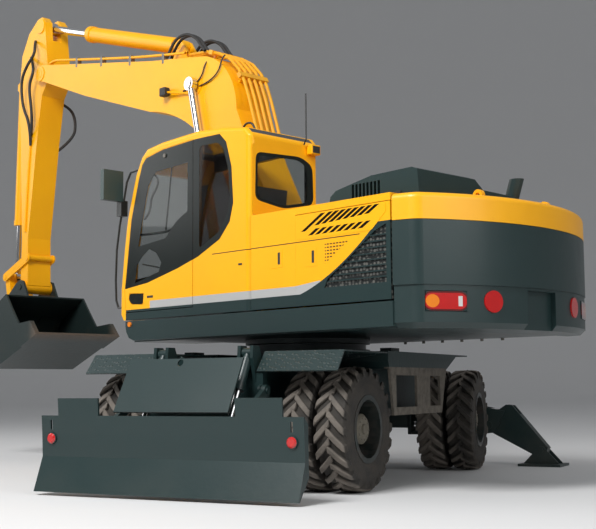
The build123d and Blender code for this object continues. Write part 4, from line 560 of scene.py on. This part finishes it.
# Wire mesh closes the recess in the dark part of each engine door.
MESH_FACE_FROM, MESH_FACE_TO = 1.20, 1.2445
MESH_FRONT = -1.45
wire = livery.cells(26.0, 0.55).between(0.25, 0.45)
mesh_colour = livery.blend(wire, (0.11, 0.11, 0.10, 1), (0.010, 0.012, 0.012, 1))
recess = sideways.size().below(MESH_FACE_TO) * sideways.size().above(MESH_FACE_FROM) * along.below(MESH_FRONT)
colour = livery.blend(recess * height.below(diagonal), colour, mesh_colour)
livery.feed("Base Color", colour)
paint_skin(livery)
cover(livery, "cab_shell", "cab_door", "house_shell", "engine_door_left", "engine_door_right")

# ---------------------------------------------------------------- counterweight
# One heavy iron casting, filled and painted, bolted to the tail of the revolving frame. It is dark
# green below and yellow on the crowned band that continues the side panels' line.
CASTING_BAND_FOOT = 2.183
casting = Finish("casting_paint", Coat_Weight=0.2, Coat_Roughness=0.2)
banded = casting.part_of_place(2).above(CASTING_BAND_FOOT)
casting.feed("Base Color", casting.blend(banded, DARK_GREEN, yellow_colour(casting)))
casting.feed("Roughness", 0.34 + casting.noise(4.0) * 0.14)
casting.bump(casting.noise(7.0, 3.0), 0.003, 0.5)
cover(casting, "counterweight")

# ---------------------------------------------------------------- door and body hardware
# Pull latches on the panels, and slot handles on the cab door and the cab's side: moulded black
# plastic, let into the sheet from outside, on painted plates where a panel is held by one.
black_plastic = Finish("black_plastic")
plastic_grain = black_plastic.noise(30.0)
plastic_colour = black_plastic.blend(plastic_grain, (0.012, 0.012, 0.013, 1), (0.03, 0.03, 0.03, 1))
black_plastic.feed("Base Color", plastic_colour)
black_plastic.feed("Roughness", 0.45 + black_plastic.noise(50.0) * 0.2)


def on_upper_half(x, y, z):
    """A point given from the slew axis, along the boom, to its left and up."""
    return Vector((slew.x + x, slew.y + y, z))


def slab(name, low, high, finish, body, edge):
    """Box between two corners of the upper half, with its edges rounded by edge."""
    (x0, y0, z0), (x1, y1, z1) = on_upper_half(*low), on_upper_half(*high)
    points = [(x, y, z) for x in (x0, x1) for y in (y0, y1) for z in (z0, z1)]
    faces = [(0, 1, 3, 2), (4, 6, 7, 5), (0, 4, 5, 1), (2, 3, 7, 6), (0, 2, 6, 4), (1, 5, 7, 3)]
    piece = new_piece(name, points, faces, finish, body)
    bevel = piece.modifiers.new("rounded", "BEVEL")
    bevel.width = edge
    bevel.segments = 3
    return piece


# (name, body, middle's x, middle's z, width, height) of each latch or handle on the left side
LATCHES = [
    ("rear_panel_latch", "engine_door_left", -1.359, 1.972, 0.030, 0.105),
    ("front_panel_latch", "upper", -0.937, 1.992, 0.030, 0.105),
    ("cab_side_latch", "upper", -0.42, 1.985, 0.050, 0.018),
    ("door_pull", "cab_door", 0.938, 1.775, 0.095, 0.022),
]
LATCH_PROUD = 0.004
for name, body, x, z, width, tall in LATCHES:
    low = (x - width / 2, BODY_SIDE - LATCH_PROUD, z - tall / 2)
    high = (x + width / 2, BODY_SIDE + LATCH_PROUD, z + tall / 2)
    slab(name, low, high, black_plastic, body, 0.003)
# (name, body, middle's x, middle's z) of the yellow plate behind each panel latch
LATCH_PLATES = [
    ("rear_latch_plate", "engine_door_left", -1.33, 1.97),
    ("front_latch_plate", "upper", -0.905, 1.99),
]
PLATE_WIDTH = 0.150
PLATE_TALL = 0.160
PLATE_PROUD = 0.0022
for name, body, x, z in LATCH_PLATES:
    low = (x - PLATE_WIDTH / 2, BODY_SIDE - LATCH_PROUD, z - PLATE_TALL / 2)
    high = (x + PLATE_WIDTH / 2, BODY_SIDE + PLATE_PROUD, z + PLATE_TALL / 2)
    slab(name, low, high, yellow, body, 0.002)


# ---------------------------------------------------------------- engine door vents
# A thin pressed panel with two rows of slots that lean back, riveted to the outside of each engine
# door over a near-black sheet: painted shade for the dark seen through the slots.
def rounded(corners, radius):
    """Outline with its corners cut to curves."""
    smooth = []
    for step, corner in enumerate(corners):
        here = Vector(corner)
        ways = [Vector(corners[step - 1]) - here, Vector(corners[(step + 1) % len(corners)]) - here]
        first, last = [here + way.normalized() * min(radius, way.length / 2) for way in ways]
        for share in (0, 0.25, 0.5, 0.75, 1):
            smooth.append(first.lerp(here, share).lerp(here.lerp(last, share), share))
    return smooth


def plate(name, wall, outline, holes, inner, outer, finish, body):
    """Flat plate on a side wall (outline in x and z) or a rear wall (in y and z), from inner to
    outer on the wall's own axis, with real holes."""
    data = bpy.data.curves.new(name, "CURVE")
    data.dimensions = "2D"
    data.fill_mode = "BOTH"
    data.extrude = abs(outer - inner) / 2
    for loop in (outline, *holes):
        edge = data.splines.new("POLY")
        edge.points.add(len(loop) - 1)
        edge.use_cyclic_u = True
        for corner, knot in zip(loop, edge.points):
            knot.co = (corner[0], corner[1], 0, 1)
    data.materials.append(finish.material)
    piece = bpy.data.objects.new(name, data)
    bpy.context.collection.objects.link(piece)
    middle = (inner + outer) / 2
    if wall == "side":
        axes = Vector((1, 0, 0)), Vector((0, 0, 1)), Vector((0, -1, 0))
        origin = on_upper_half(0, middle, 0)
    else:
        axes = Vector((0, 1, 0)), Vector((0, 0, 1)), Vector((1, 0, 0))
        origin = on_upper_half(middle, 0, 0)
    piece.matrix_world = Matrix.Translation(origin) @ Matrix(axes).transposed().to_4x4()
    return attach(piece, body)


# The near-black sheet behind the vent slots is painted shade: the dark seen through them.
slot_shade_paint = Finish("slot_shade_paint", Specular_IOR_Level=0.1)
slot_shade_grain = slot_shade_paint.noise(30.0)
slot_shade_colour = slot_shade_paint.blend(slot_shade_grain, (0.003, 0.003, 0.003, 1), (0.008, 0.007, 0.006, 1))
slot_shade_paint.feed("Base Color", slot_shade_colour)
slot_shade_paint.feed("Roughness", 0.8 + slot_shade_paint.noise(30.0) * 0.1)
SLOT_LEAN = 1.8
SLOT_WIDTH = 0.054
SLOT_COUNT = 8
UPPER_PITCH, UPPER_RISE = 0.082, 0.0045
LOWER_PITCH = 0.0826
# (x of the front of its foot, height of foot, height of head) of each slot
UPPER_SLOTS = [(-1.215, 2.195, 2.330)]
UPPER_SLOTS += [(-1.376 - UPPER_PITCH * step, 2.234 + UPPER_RISE * step, 2.332) for step in range(SLOT_COUNT)]
LOWER_SLOTS = [(-1.300 - LOWER_PITCH * step, 2.155, 2.208) for step in range(SLOT_COUNT)]
slots = []
for x, foot, head in UPPER_SLOTS + LOWER_SLOTS:
    back = SLOT_LEAN * (head - foot)
    slots.append([(x, foot), (x - SLOT_WIDTH, foot), (x - SLOT_WIDTH - back, head), (x - back, head)])
VENT_PANEL = [(-1.175, 2.128), (-1.175, 2.341), (-2.185, 2.341), (-2.185, 2.262), (-2.03, 2.128)]
vent_outline = rounded(VENT_PANEL, 0.02)
SLOT_SHADE_INNER, SLOT_SHADE_OUTER, PANEL_OUTER = 0.0002, 0.0008, 0.0024
for side in SIDES:
    faces_out = [BODY_SIDE + proud for proud in (SLOT_SHADE_INNER, SLOT_SHADE_OUTER, PANEL_OUTER)]
    inner, middle, outer = faces_out if side == "left" else [-face for face in faces_out]
    plate(f"vent_slot_shade_{side}", "side", vent_outline, [], inner, middle, slot_shade_paint, f"engine_door_{side}")
    plate(f"vent_panel_{side}", "side", vent_outline, slots, middle, outer, yellow, f"engine_door_{side}")

# ---------------------------------------------------------------- bucket
# Digging bucket welded from hard steel plate and pinned to the arm and its link. Its dark paint is
# worn to bare brown steel along the lip.
LIP_WEAR = 0.22
bucket_paint = Finish("bucket_paint", Coat_Weight=0.1)
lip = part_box("bucket")[0][0]
worn = 1 - bucket_paint.part_of_place(0).between(lip, lip + LIP_WEAR)
worn = (worn * 0.8 + bucket_paint.noise(4.0).between(0.55, 0.8) * 0.2).clamped()
bucket_paint.feed("Base Color", bucket_paint.blend(worn, (0.012, 0.022, 0.021, 1), (0.10, 0.072, 0.05, 1)))
bucket_paint.feed("Roughness", 0.45 + worn * 0.3)
bucket_paint.bump(bucket_paint.noise(18.0), 0.002)
cover(bucket_paint, "bucket")

# ---------------------------------------------------------------- boom pipes
# Cold-drawn steel pipes that carry oil over the boom's back, bent to its line, held by bolted
# clamps and sprayed yellow with the boom, so their paint is a little uneven.
pipe_paint = Finish("pipe_paint")
pipe_paint.feed("Base Color", pipe_paint.blend(pipe_paint.noise(6.0), YELLOW, (0.6, 0.28, 0.02, 1)))
pipe_paint.feed("Roughness", 0.35 + pipe_paint.noise(9.0) * 0.1)
cover(pipe_paint, "boom_pipes")

# ---------------------------------------------------------------- cab glass and inside
# Lightly smoked safety glass, bonded to the cab and the door behind a black printed border, with a
# plated lock on the sliding pane. Seat, armrests and column inside are moulded in dark grey.
PILLAR_FRONT, PILLAR_REAR = 0.265, -0.50
SIDE_GLASS_FROM = 1.2
tinted = Finish("tinted_glass", Transmission_Weight=1.0, IOR=1.2)
along, sideways, height = tinted.upper_place()
smoked = along.below(PILLAR_FRONT) * along.above(PILLAR_REAR) * sideways.above(SIDE_GLASS_FROM)
clear_tint = tinted.blend(tinted.noise(2.0), (0.70, 0.73, 0.72, 1), (0.76, 0.78, 0.77, 1))
tinted.feed("Base Color", tinted.blend(smoked, clear_tint, (0.20, 0.19, 0.19, 1)))
tinted.feed("Roughness", 0.02 + tinted.noise(3.0) * 0.02)
cover(tinted, "cab_glass", "door_glass")
border = Finish("black_border", Specular_IOR_Level=0.3)
border.feed("Base Color", border.blend(border.noise(6.0), (0.006, 0.009, 0.008, 1), (0.010, 0.014, 0.013, 1)))
border.feed("Roughness", 0.18 + border.noise(6.0) * 0.1)
cover(border, "door_frame")
window_lock = studs([on_upper_half(0.707, BODY_SIDE, 3.15)], Vector((0, 1, 0)), 0.022, 0.012)
new_piece("window_lock", *window_lock, nut_steel, "cab_door")

CAB_REAR = -0.56
REAR_OPENING = [(1.195, 2.565), (0.84, 2.515), (0.455, 2.59), (0.465, 2.96), (0.62, 3.03), (1.185, 3.005)]
REAR_CLEAR = [(1.165, 2.59), (0.85, 2.54), (0.535, 2.605), (0.54, 2.93), (0.64, 2.995), (1.160, 2.975)]
REAR_CORNER_R = 0.07
surround = rounded([(0.425, 2.43), (1.225, 2.43), (1.225, 3.075), (0.425, 3.075)], 0.02)
opening, clear = rounded(REAR_OPENING, REAR_CORNER_R), rounded(REAR_CLEAR, REAR_CORNER_R)
plate("rear_surround", "rear", surround, [opening], CAB_REAR - 0.003, CAB_REAR - 0.001, yellow, "upper")
plate("rear_glass_border", "rear", surround, [clear], CAB_REAR - 0.0008, CAB_REAR - 0.0002, border, "upper")
QUARTER_GLASS = [(0.262, 3.234), (0.20, 3.236), (-0.129, 3.228), (-0.223, 3.139), (-0.298, 2.90)]
QUARTER_GLASS += [(-0.323, 2.56), (-0.273, 2.392), (-0.129, 2.242), (0.19, 2.107), (0.262, 2.086)]
QUARTER_CLEAR = [(0.17, 2.18), (0.17, 3.16), (-0.12, 3.15), (-0.19, 3.07), (-0.255, 2.88), (-0.28, 2.58)]
QUARTER_CLEAR += [(-0.23, 2.43), (-0.12, 2.31)]
quarter_clear = rounded(QUARTER_CLEAR, 0.05)
inner, outer = BODY_SIDE + 0.0002, BODY_SIDE + 0.001
plate("quarter_border", "side", QUARTER_GLASS, [quarter_clear], inner, outer, border, "upper")
trim = Finish("cab_trim")
trim.feed("Base Color", trim.blend(trim.noise(8.0), (0.05, 0.05, 0.052, 1), (0.09, 0.09, 0.092, 1)))
trim.feed("Roughness", 0.6 + trim.noise(20.0) * 0.2)
cover(trim, "cab_interior")

# ---------------------------------------------------------------- mirror, rails and aerial
# Bent steel tube, powder-coated black and bolted to the cab and the tanks. The mirror's moulded
# shell on its arm is dark green.
SHELL_OUT, SHELL_LOW, SHELL_BACK = 1.204, 2.79, 1.3
tube_paint = Finish("tube_paint", Coat_Weight=0.2)
along, sideways, height = tube_paint.upper_place()
shell = sideways.above(SHELL_OUT) * height.above(SHELL_LOW) * along.above(SHELL_BACK)
tube_paint.feed("Base Color", tube_paint.blend(shell, (0.012, 0.014, 0.014, 1), (0.030, 0.055, 0.052, 1)))
tube_paint.feed("Roughness", 0.4 + tube_paint.noise(12.0) * 0.15)
cover(tube_paint, "mirrors_and_rails")
soften(0.018, "mirrors_and_rails")

# ---------------------------------------------------------------- lamps
# Moulded lenses screwed to the tail: rear clusters with amber, red and clear parts from outside
# in, round red reflectors, and an amber marker on the skirt.
LAMP_MIDDLE = 1.54
CLUSTER_MIDDLE = 0.975
CLUSTER_INNER_EDGE = 0.78
CLUSTER_STRAIGHT = 0.105  # half its length between the round ends
CLUSTER_RISE = 0.010
LENS_EDGE, CASE_EDGE = 0.053, 0.066
AMBER_MIDDLE = 1.075
AMBER_R_SQUARED = 0.0026
CLEAR_INNER, CLEAR_OUTER, CLEAR_TALL = 0.848, 0.880, 0.040
lens = Finish("lamp_lenses", Coat_Weight=0.9)
along, sideways, height = lens.upper_place()
ripple = lens.noise(20.0)
amber = lens.blend(ripple, (0.85, 0.24, 0.008, 1), (0.75, 0.19, 0.006, 1))
red = lens.blend(ripple, (0.55, 0.008, 0.008, 1), (0.42, 0.006, 0.006, 1))
clear = lens.blend(ripple, (0.55, 0.52, 0.50, 1), (0.70, 0.68, 0.66, 1))
across, rise = sideways.size(), height - LAMP_MIDDLE
off_side = ((across - CLUSTER_MIDDLE).size() - CLUSTER_STRAIGHT).most(0.0)
off_top = (rise.size() - CLUSTER_RISE).most(0.0)
to_edge = (off_side * off_side + off_top * off_top).math("SQRT")
from_amber = across - AMBER_MIDDLE
is_amber = (from_amber * from_amber + rise * rise).below(AMBER_R_SQUARED).most(along.above(0))
is_clear = across.above(CLEAR_INNER) * across.below(CLEAR_OUTER) * rise.size().below(CLEAR_TALL)
on_cluster = across.above(CLUSTER_INNER_EDGE) * along.below(0)
lens_colour = lens.blend(is_amber, red, amber)
lens_colour = lens.blend(is_clear, lens_colour, clear)
lens_colour = lens.blend(to_edge.above(LENS_EDGE) * on_cluster, lens_colour, (0.10, 0.004, 0.004, 1))
lens_colour = lens.blend(to_edge.above(CASE_EDGE) * on_cluster, lens_colour, DARK_GREEN)
lens.feed("Base Color", lens_colour)
lens.feed("Roughness", 0.12 + ripple * 0.1)
lens.bump(lens.part_of_place(2).remainder(0.012), 0.002, 0.5)
cover(lens, "lamps")
soften(0.022, "lamps")

# ---------------------------------------------------------------- hoses
# Wire-braided rubber hoses with crimped ends, screwed in at both ends: over the boom's knee, from
# the boom's side to the arm's ram, and down both sides of the arm.
hose_rubber = Finish("hose_rubber")
hose_grain = hose_rubber.noise(30.0)
hose_colour = hose_rubber.blend(hose_grain, (0.010, 0.010, 0.011, 1), (0.03, 0.028, 0.026, 1))
hose_rubber.feed("Base Color", hose_colour)
hose_rubber.feed("Roughness", 0.5 + hose_rubber.noise(50.0) * 0.2)


def hose(name, points, radius, finish, body):
    """Round hose or pipe along a smooth line near points of the upper half."""
    data = bpy.data.curves.new(name, "CURVE")
    data.dimensions = "3D"
    data.bevel_depth = radius
    data.bevel_resolution = 3
    line = data.splines.new("NURBS")
    line.points.add(len(points) - 1)
    for place, knot in zip(points, line.points):
        knot.co = (*on_upper_half(*place), 1)
    line.order_u = 3
    line.use_endpoint_u = True
    data.materials.append(finish.material)
    piece = bpy.data.objects.new(name, data)
    bpy.context.collection.objects.link(piece)
    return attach(piece, body)


KNEE_ROUTE = [(2.06, 4.64), (1.96, 4.80), (1.74, 4.85), (1.54, 4.76), (1.44, 4.63), (1.38, 4.57)]
for step, y in enumerate((0.205, 0.145, -0.145, -0.205)):
    hose(f"knee_hose_{step + 1}", [(x, y, z) for x, z in KNEE_ROUTE], 0.017, hose_rubber, "boom")
for step, x in enumerate((1.31, 1.02)):
    route = [(x, 0.22, 4.44), (x, 0.262, 4.40), (x + 0.06, 0.258, 4.26), (x + 0.24, 0.256, 4.18)]
    hose(f"ram_hose_{step + 1}", route + [(x + 0.40, 0.25, 4.17)], 0.008, hose_rubber, "boom")
ARM_HOSES = [
    [(5.00, 0.18, 5.50), (4.86, 0.27, 5.40), (4.82, 0.30, 5.26), (5.02, 0.30, 5.14), (5.17, 0.29, 4.96)]
    + [(5.15, 0.27, 4.62), (5.00, 0.24, 4.36), (5.08, 0.18, 4.10)],
    [(5.10, 0.18, 5.30), (4.90, 0.27, 5.14), (4.86, 0.29, 5.02), (4.97, 0.29, 4.86), (4.93, 0.26, 4.52)]
    + [(4.99, 0.22, 4.30), (5.08, 0.18, 4.22)],
    [(4.98, -0.18, 4.72), (4.84, -0.28, 4.64), (4.72, -0.29, 4.42), (4.76, -0.28, 4.20), (4.98, -0.18, 4.06)],
]
for step, route in enumerate(ARM_HOSES):
    hose(f"arm_hose_{step + 1}", route, 0.019, hose_rubber, "arm")

# ---------------------------------------------------------------- arm and boom fittings
# Steel pipe down the arm, two pipes in plated clamps along the boom's left side, and a working
# lamp in a black plastic case on a bent stem under the boom.
ARM_PIPE = [(5.08, 0.180, 4.16), (5.12, 0.182, 3.80), (5.16, 0.182, 3.30), (5.18, 0.180, 2.95)]
hose("arm_pipe", ARM_PIPE, 0.014, yellow, "arm")
BOOM_RAIL = [(1.70, 4.62), (2.45, 4.735), (3.50, 4.935), (4.20, 5.075), (4.46, 5.13), (4.56, 5.10)]
for step, y in enumerate((0.192, 0.226)):
    hose(f"boom_rail_{step + 1}", [(x, y, z - 0.01 * step) for x, z in BOOM_RAIL], 0.015, yellow, "boom")
RAIL_CLAMPS = [(2.10, 4.66), (2.75, 4.775), (3.35, 4.89), (3.90, 4.995)]
for step, (x, z) in enumerate(RAIL_CLAMPS):
    low, high = (x - 0.02, 0.178, z - 0.09), (x + 0.02, 0.243, z + 0.035)
    slab(f"rail_clamp_{step + 1}", low, high, nut_steel, "boom", 0.004)
slab("boom_lamp_case", (1.93, 0.262, 4.15), (2.03, 0.345, 4.25), black_plastic, "boom", 0.012)
hose("boom_lamp_stem", [(1.98, 0.30, 4.20), (1.80, 0.29, 4.17), (1.60, 0.25, 4.12)], 0.012, yellow, "boom")

# ---------------------------------------------------------------- cab roof fittings
# A work lamp at the roof's rear corner, its yellow case screwed on with the glass facing back, and
# a grab handle of bent black rod beside it.
slab("rear_lamp_case", (-0.635, 0.425, 3.06), (-0.563, 0.545, 3.155), yellow, "upper", 0.010)
slab("rear_lamp_glass", (-0.638, 0.44, 3.075), (-0.634, 0.53, 3.14), black_plastic, "upper", 0.001)
ROOF_HANDLE = [(-0.28, 1.10, 3.25), (-0.30, 1.10, 3.32), (-0.44, 1.10, 3.31), (-0.46, 1.10, 3.22)]
hose("roof_handle", ROOF_HANDLE, 0.010, black_plastic, "upper")

# ---------------------------------------------------------------- cab door fittings
# Bars of black-coated steel on the door: the sliding window's middle bar, the rail and grab bar
# inside it, and the low bar over the lens bonded into its lower corner, painted black as the shade of that
# corner's pocket.
DOOR_INSIDE = 1.215
GRAB_BAR = [(0.93, 3.00), (0.85, 2.95), (0.88, 2.85), (0.97, 2.78), (0.99, 2.62), (1.08, 2.56)]
# (name, distance from the middle of the machine, radius, outline in x and z) of each bar
DOOR_BARS = [
    ("window_bar", 1.238, 0.007, [(0.60, 3.09), (0.645, 2.75), (0.70, 2.41)]),
    ("door_rail", DOOR_INSIDE, 0.012, [(1.14, 2.41), (0.92, 2.40), (0.60, 2.40), (0.27, 2.53)]),
    ("door_grab_bar", DOOR_INSIDE, 0.010, GRAB_BAR),
    ("lower_bar", DOOR_INSIDE, 0.007, [(1.11, 2.11), (0.90, 2.07), (0.80, 2.05)]),
]
for name, y, radius, outline in DOOR_BARS:
    hose(name, [(x, y, z) for x, z in outline], radius, border, "cab_door")
# The lens at the pocket in the door's lower corner is given black as painted shade of that pocket.
corner_lens_shade = rounded([(1.06, 1.710), (1.05, 1.811), (1.284, 1.823), (1.294, 1.762), (1.247, 1.720)], 0.035)
plate("corner_lens_shade", "side", corner_lens_shade, [], BODY_SIDE - 0.002, BODY_SIDE - 0.0008, border, "cab_door")

# ---------------------------------------------------------------- hood fittings
# Two rubber hold-downs keep the hood shut: each is hooked over the hood's left edge and screwed to
# the house below it.
for step, x in enumerate((-1.55, -2.15)):
    low, high = (x - 0.03, 1.046, 2.412), (x + 0.03, 1.062, 2.455)
    slab(f"hood_hold_down_{step + 1}", low, high, black_plastic, "upper", 0.004)

# ---------------------------------------------------------------- underside bolts
# A row of plated cap screws, driven in from below, holds the cover plates under the right side of
# the revolving frame.
SKIRT_FOOT = 1.349
BOLT_PITCH = 0.25
BOLTS_RIGHT = -1.19
bolts = [on_upper_half(-BOLT_PITCH * step, BOLTS_RIGHT, SKIRT_FOOT) for step in range(1, 7)]
new_piece("underside_bolts", *studs(bolts, Vector((0, 0, -1)), 0.016, 0.030), nut_steel, "upper")

# ---------------------------------------------------------------- floor, light and camera
# A pale painted studio floor that curves up into its own round backdrop, under three soft lamps,
# and the camera low on the ground off the left rear.
FLOOR_R = 50.0
CURVE_R = 14.0
WALL_TOP = 50.0
STUDIO_SIDES = 96
profile = [(0.01, 0.0), (24.0, 0.0), (FLOOR_R, 0.0)]
for turn in (0.3, 0.6, 0.9, 1.2, math.pi / 2):
    profile.append((FLOOR_R + CURVE_R * math.sin(turn), CURVE_R - CURVE_R * math.cos(turn)))
profile.append((FLOOR_R + CURVE_R, WALL_TOP))
points, faces = [], []
for radius, rise in profile:
    for step in range(STUDIO_SIDES):
        turn = math.tau * step / STUDIO_SIDES
        points.append((slew.x + radius * math.cos(turn), slew.y + radius * math.sin(turn), rise))
for level in range(len(profile) - 1):
    for step in range(STUDIO_SIDES):
        after = (step + 1) % STUDIO_SIDES
        low, high = level * STUDIO_SIDES, (level + 1) * STUDIO_SIDES
        faces.append((low + step, low + after, high + after, high + step))
pale_floor = Finish("pale_floor", Roughness=0.7)
floor_shade = pale_floor.blend(pale_floor.noise(0.4), (0.74, 0.74, 0.74, 1), (0.7252, 0.7252, 0.7252, 1))
pale_floor.feed("Base Color", floor_shade)
floor_mesh = bpy.data.meshes.new("studio_floor")
floor_mesh.from_pydata(points, [], faces)
floor_mesh.polygons.foreach_set("use_smooth", [True] * len(floor_mesh.polygons))
floor_mesh.materials.append(pale_floor.material)
floor = bpy.data.objects.new("studio_floor", floor_mesh)
bpy.context.collection.objects.link(floor)

world = bpy.data.worlds.new("studio")
bpy.context.scene.world = world
world.use_nodes = True
world.node_tree.nodes["Background"].inputs["Color"].default_value = (0.78, 0.80, 0.83, 1)
world.node_tree.nodes["Background"].inputs["Strength"].default_value = 0.38


def soft_lamp(name, place, size, watts):
    """Square lamp that points at the middle of the machine."""
    data = bpy.data.lights.new(name, "AREA")
    data.size = size
    data.energy = watts
    lamp = bpy.data.objects.new(name, data)
    bpy.context.collection.objects.link(lamp)
    lamp.location = on_upper_half(*place)
    lamp.rotation_euler = (on_upper_half(1.5, 0, 2.0) - lamp.location).to_track_quat("-Z", "Y").to_euler()


soft_lamp("key", (-3, 11, 11), 5, 2100)
soft_lamp("rear_fill", (-13, 1, 7), 8, 450)
soft_lamp("front_fill", (12, 6, 8), 8, 450)

YAW = math.radians(-43.868)
PITCH = 0.106
ROLL = -0.007
camera_data = bpy.data.cameras.new("camera")
camera = bpy.data.objects.new("camera", camera_data)
bpy.context.collection.objects.link(camera)
ahead = Vector((math.cos(YAW) * math.cos(PITCH), math.sin(YAW) * math.cos(PITCH), math.sin(PITCH)))
level_right = Vector((math.sin(YAW), -math.cos(YAW), 0))
level_up = level_right.cross(ahead)
right = math.cos(ROLL) * level_right + math.sin(ROLL) * level_up
up = -math.sin(ROLL) * level_right + math.cos(ROLL) * level_up
turn = Matrix((right, up, -ahead)).transposed().to_4x4()
camera.matrix_world = Matrix.Translation(on_upper_half(-8.199, 7.959, 0.881)) @ turn
camera_data.lens = 69.12
camera_data.sensor_width = 36
camera_data.shift_x = -0.0061
camera_data.shift_y = 0.001
camera_data.clip_end = 200
bpy.context.scene.view_settings.view_transform = "Standard"
bpy.context.scene.camera = camera
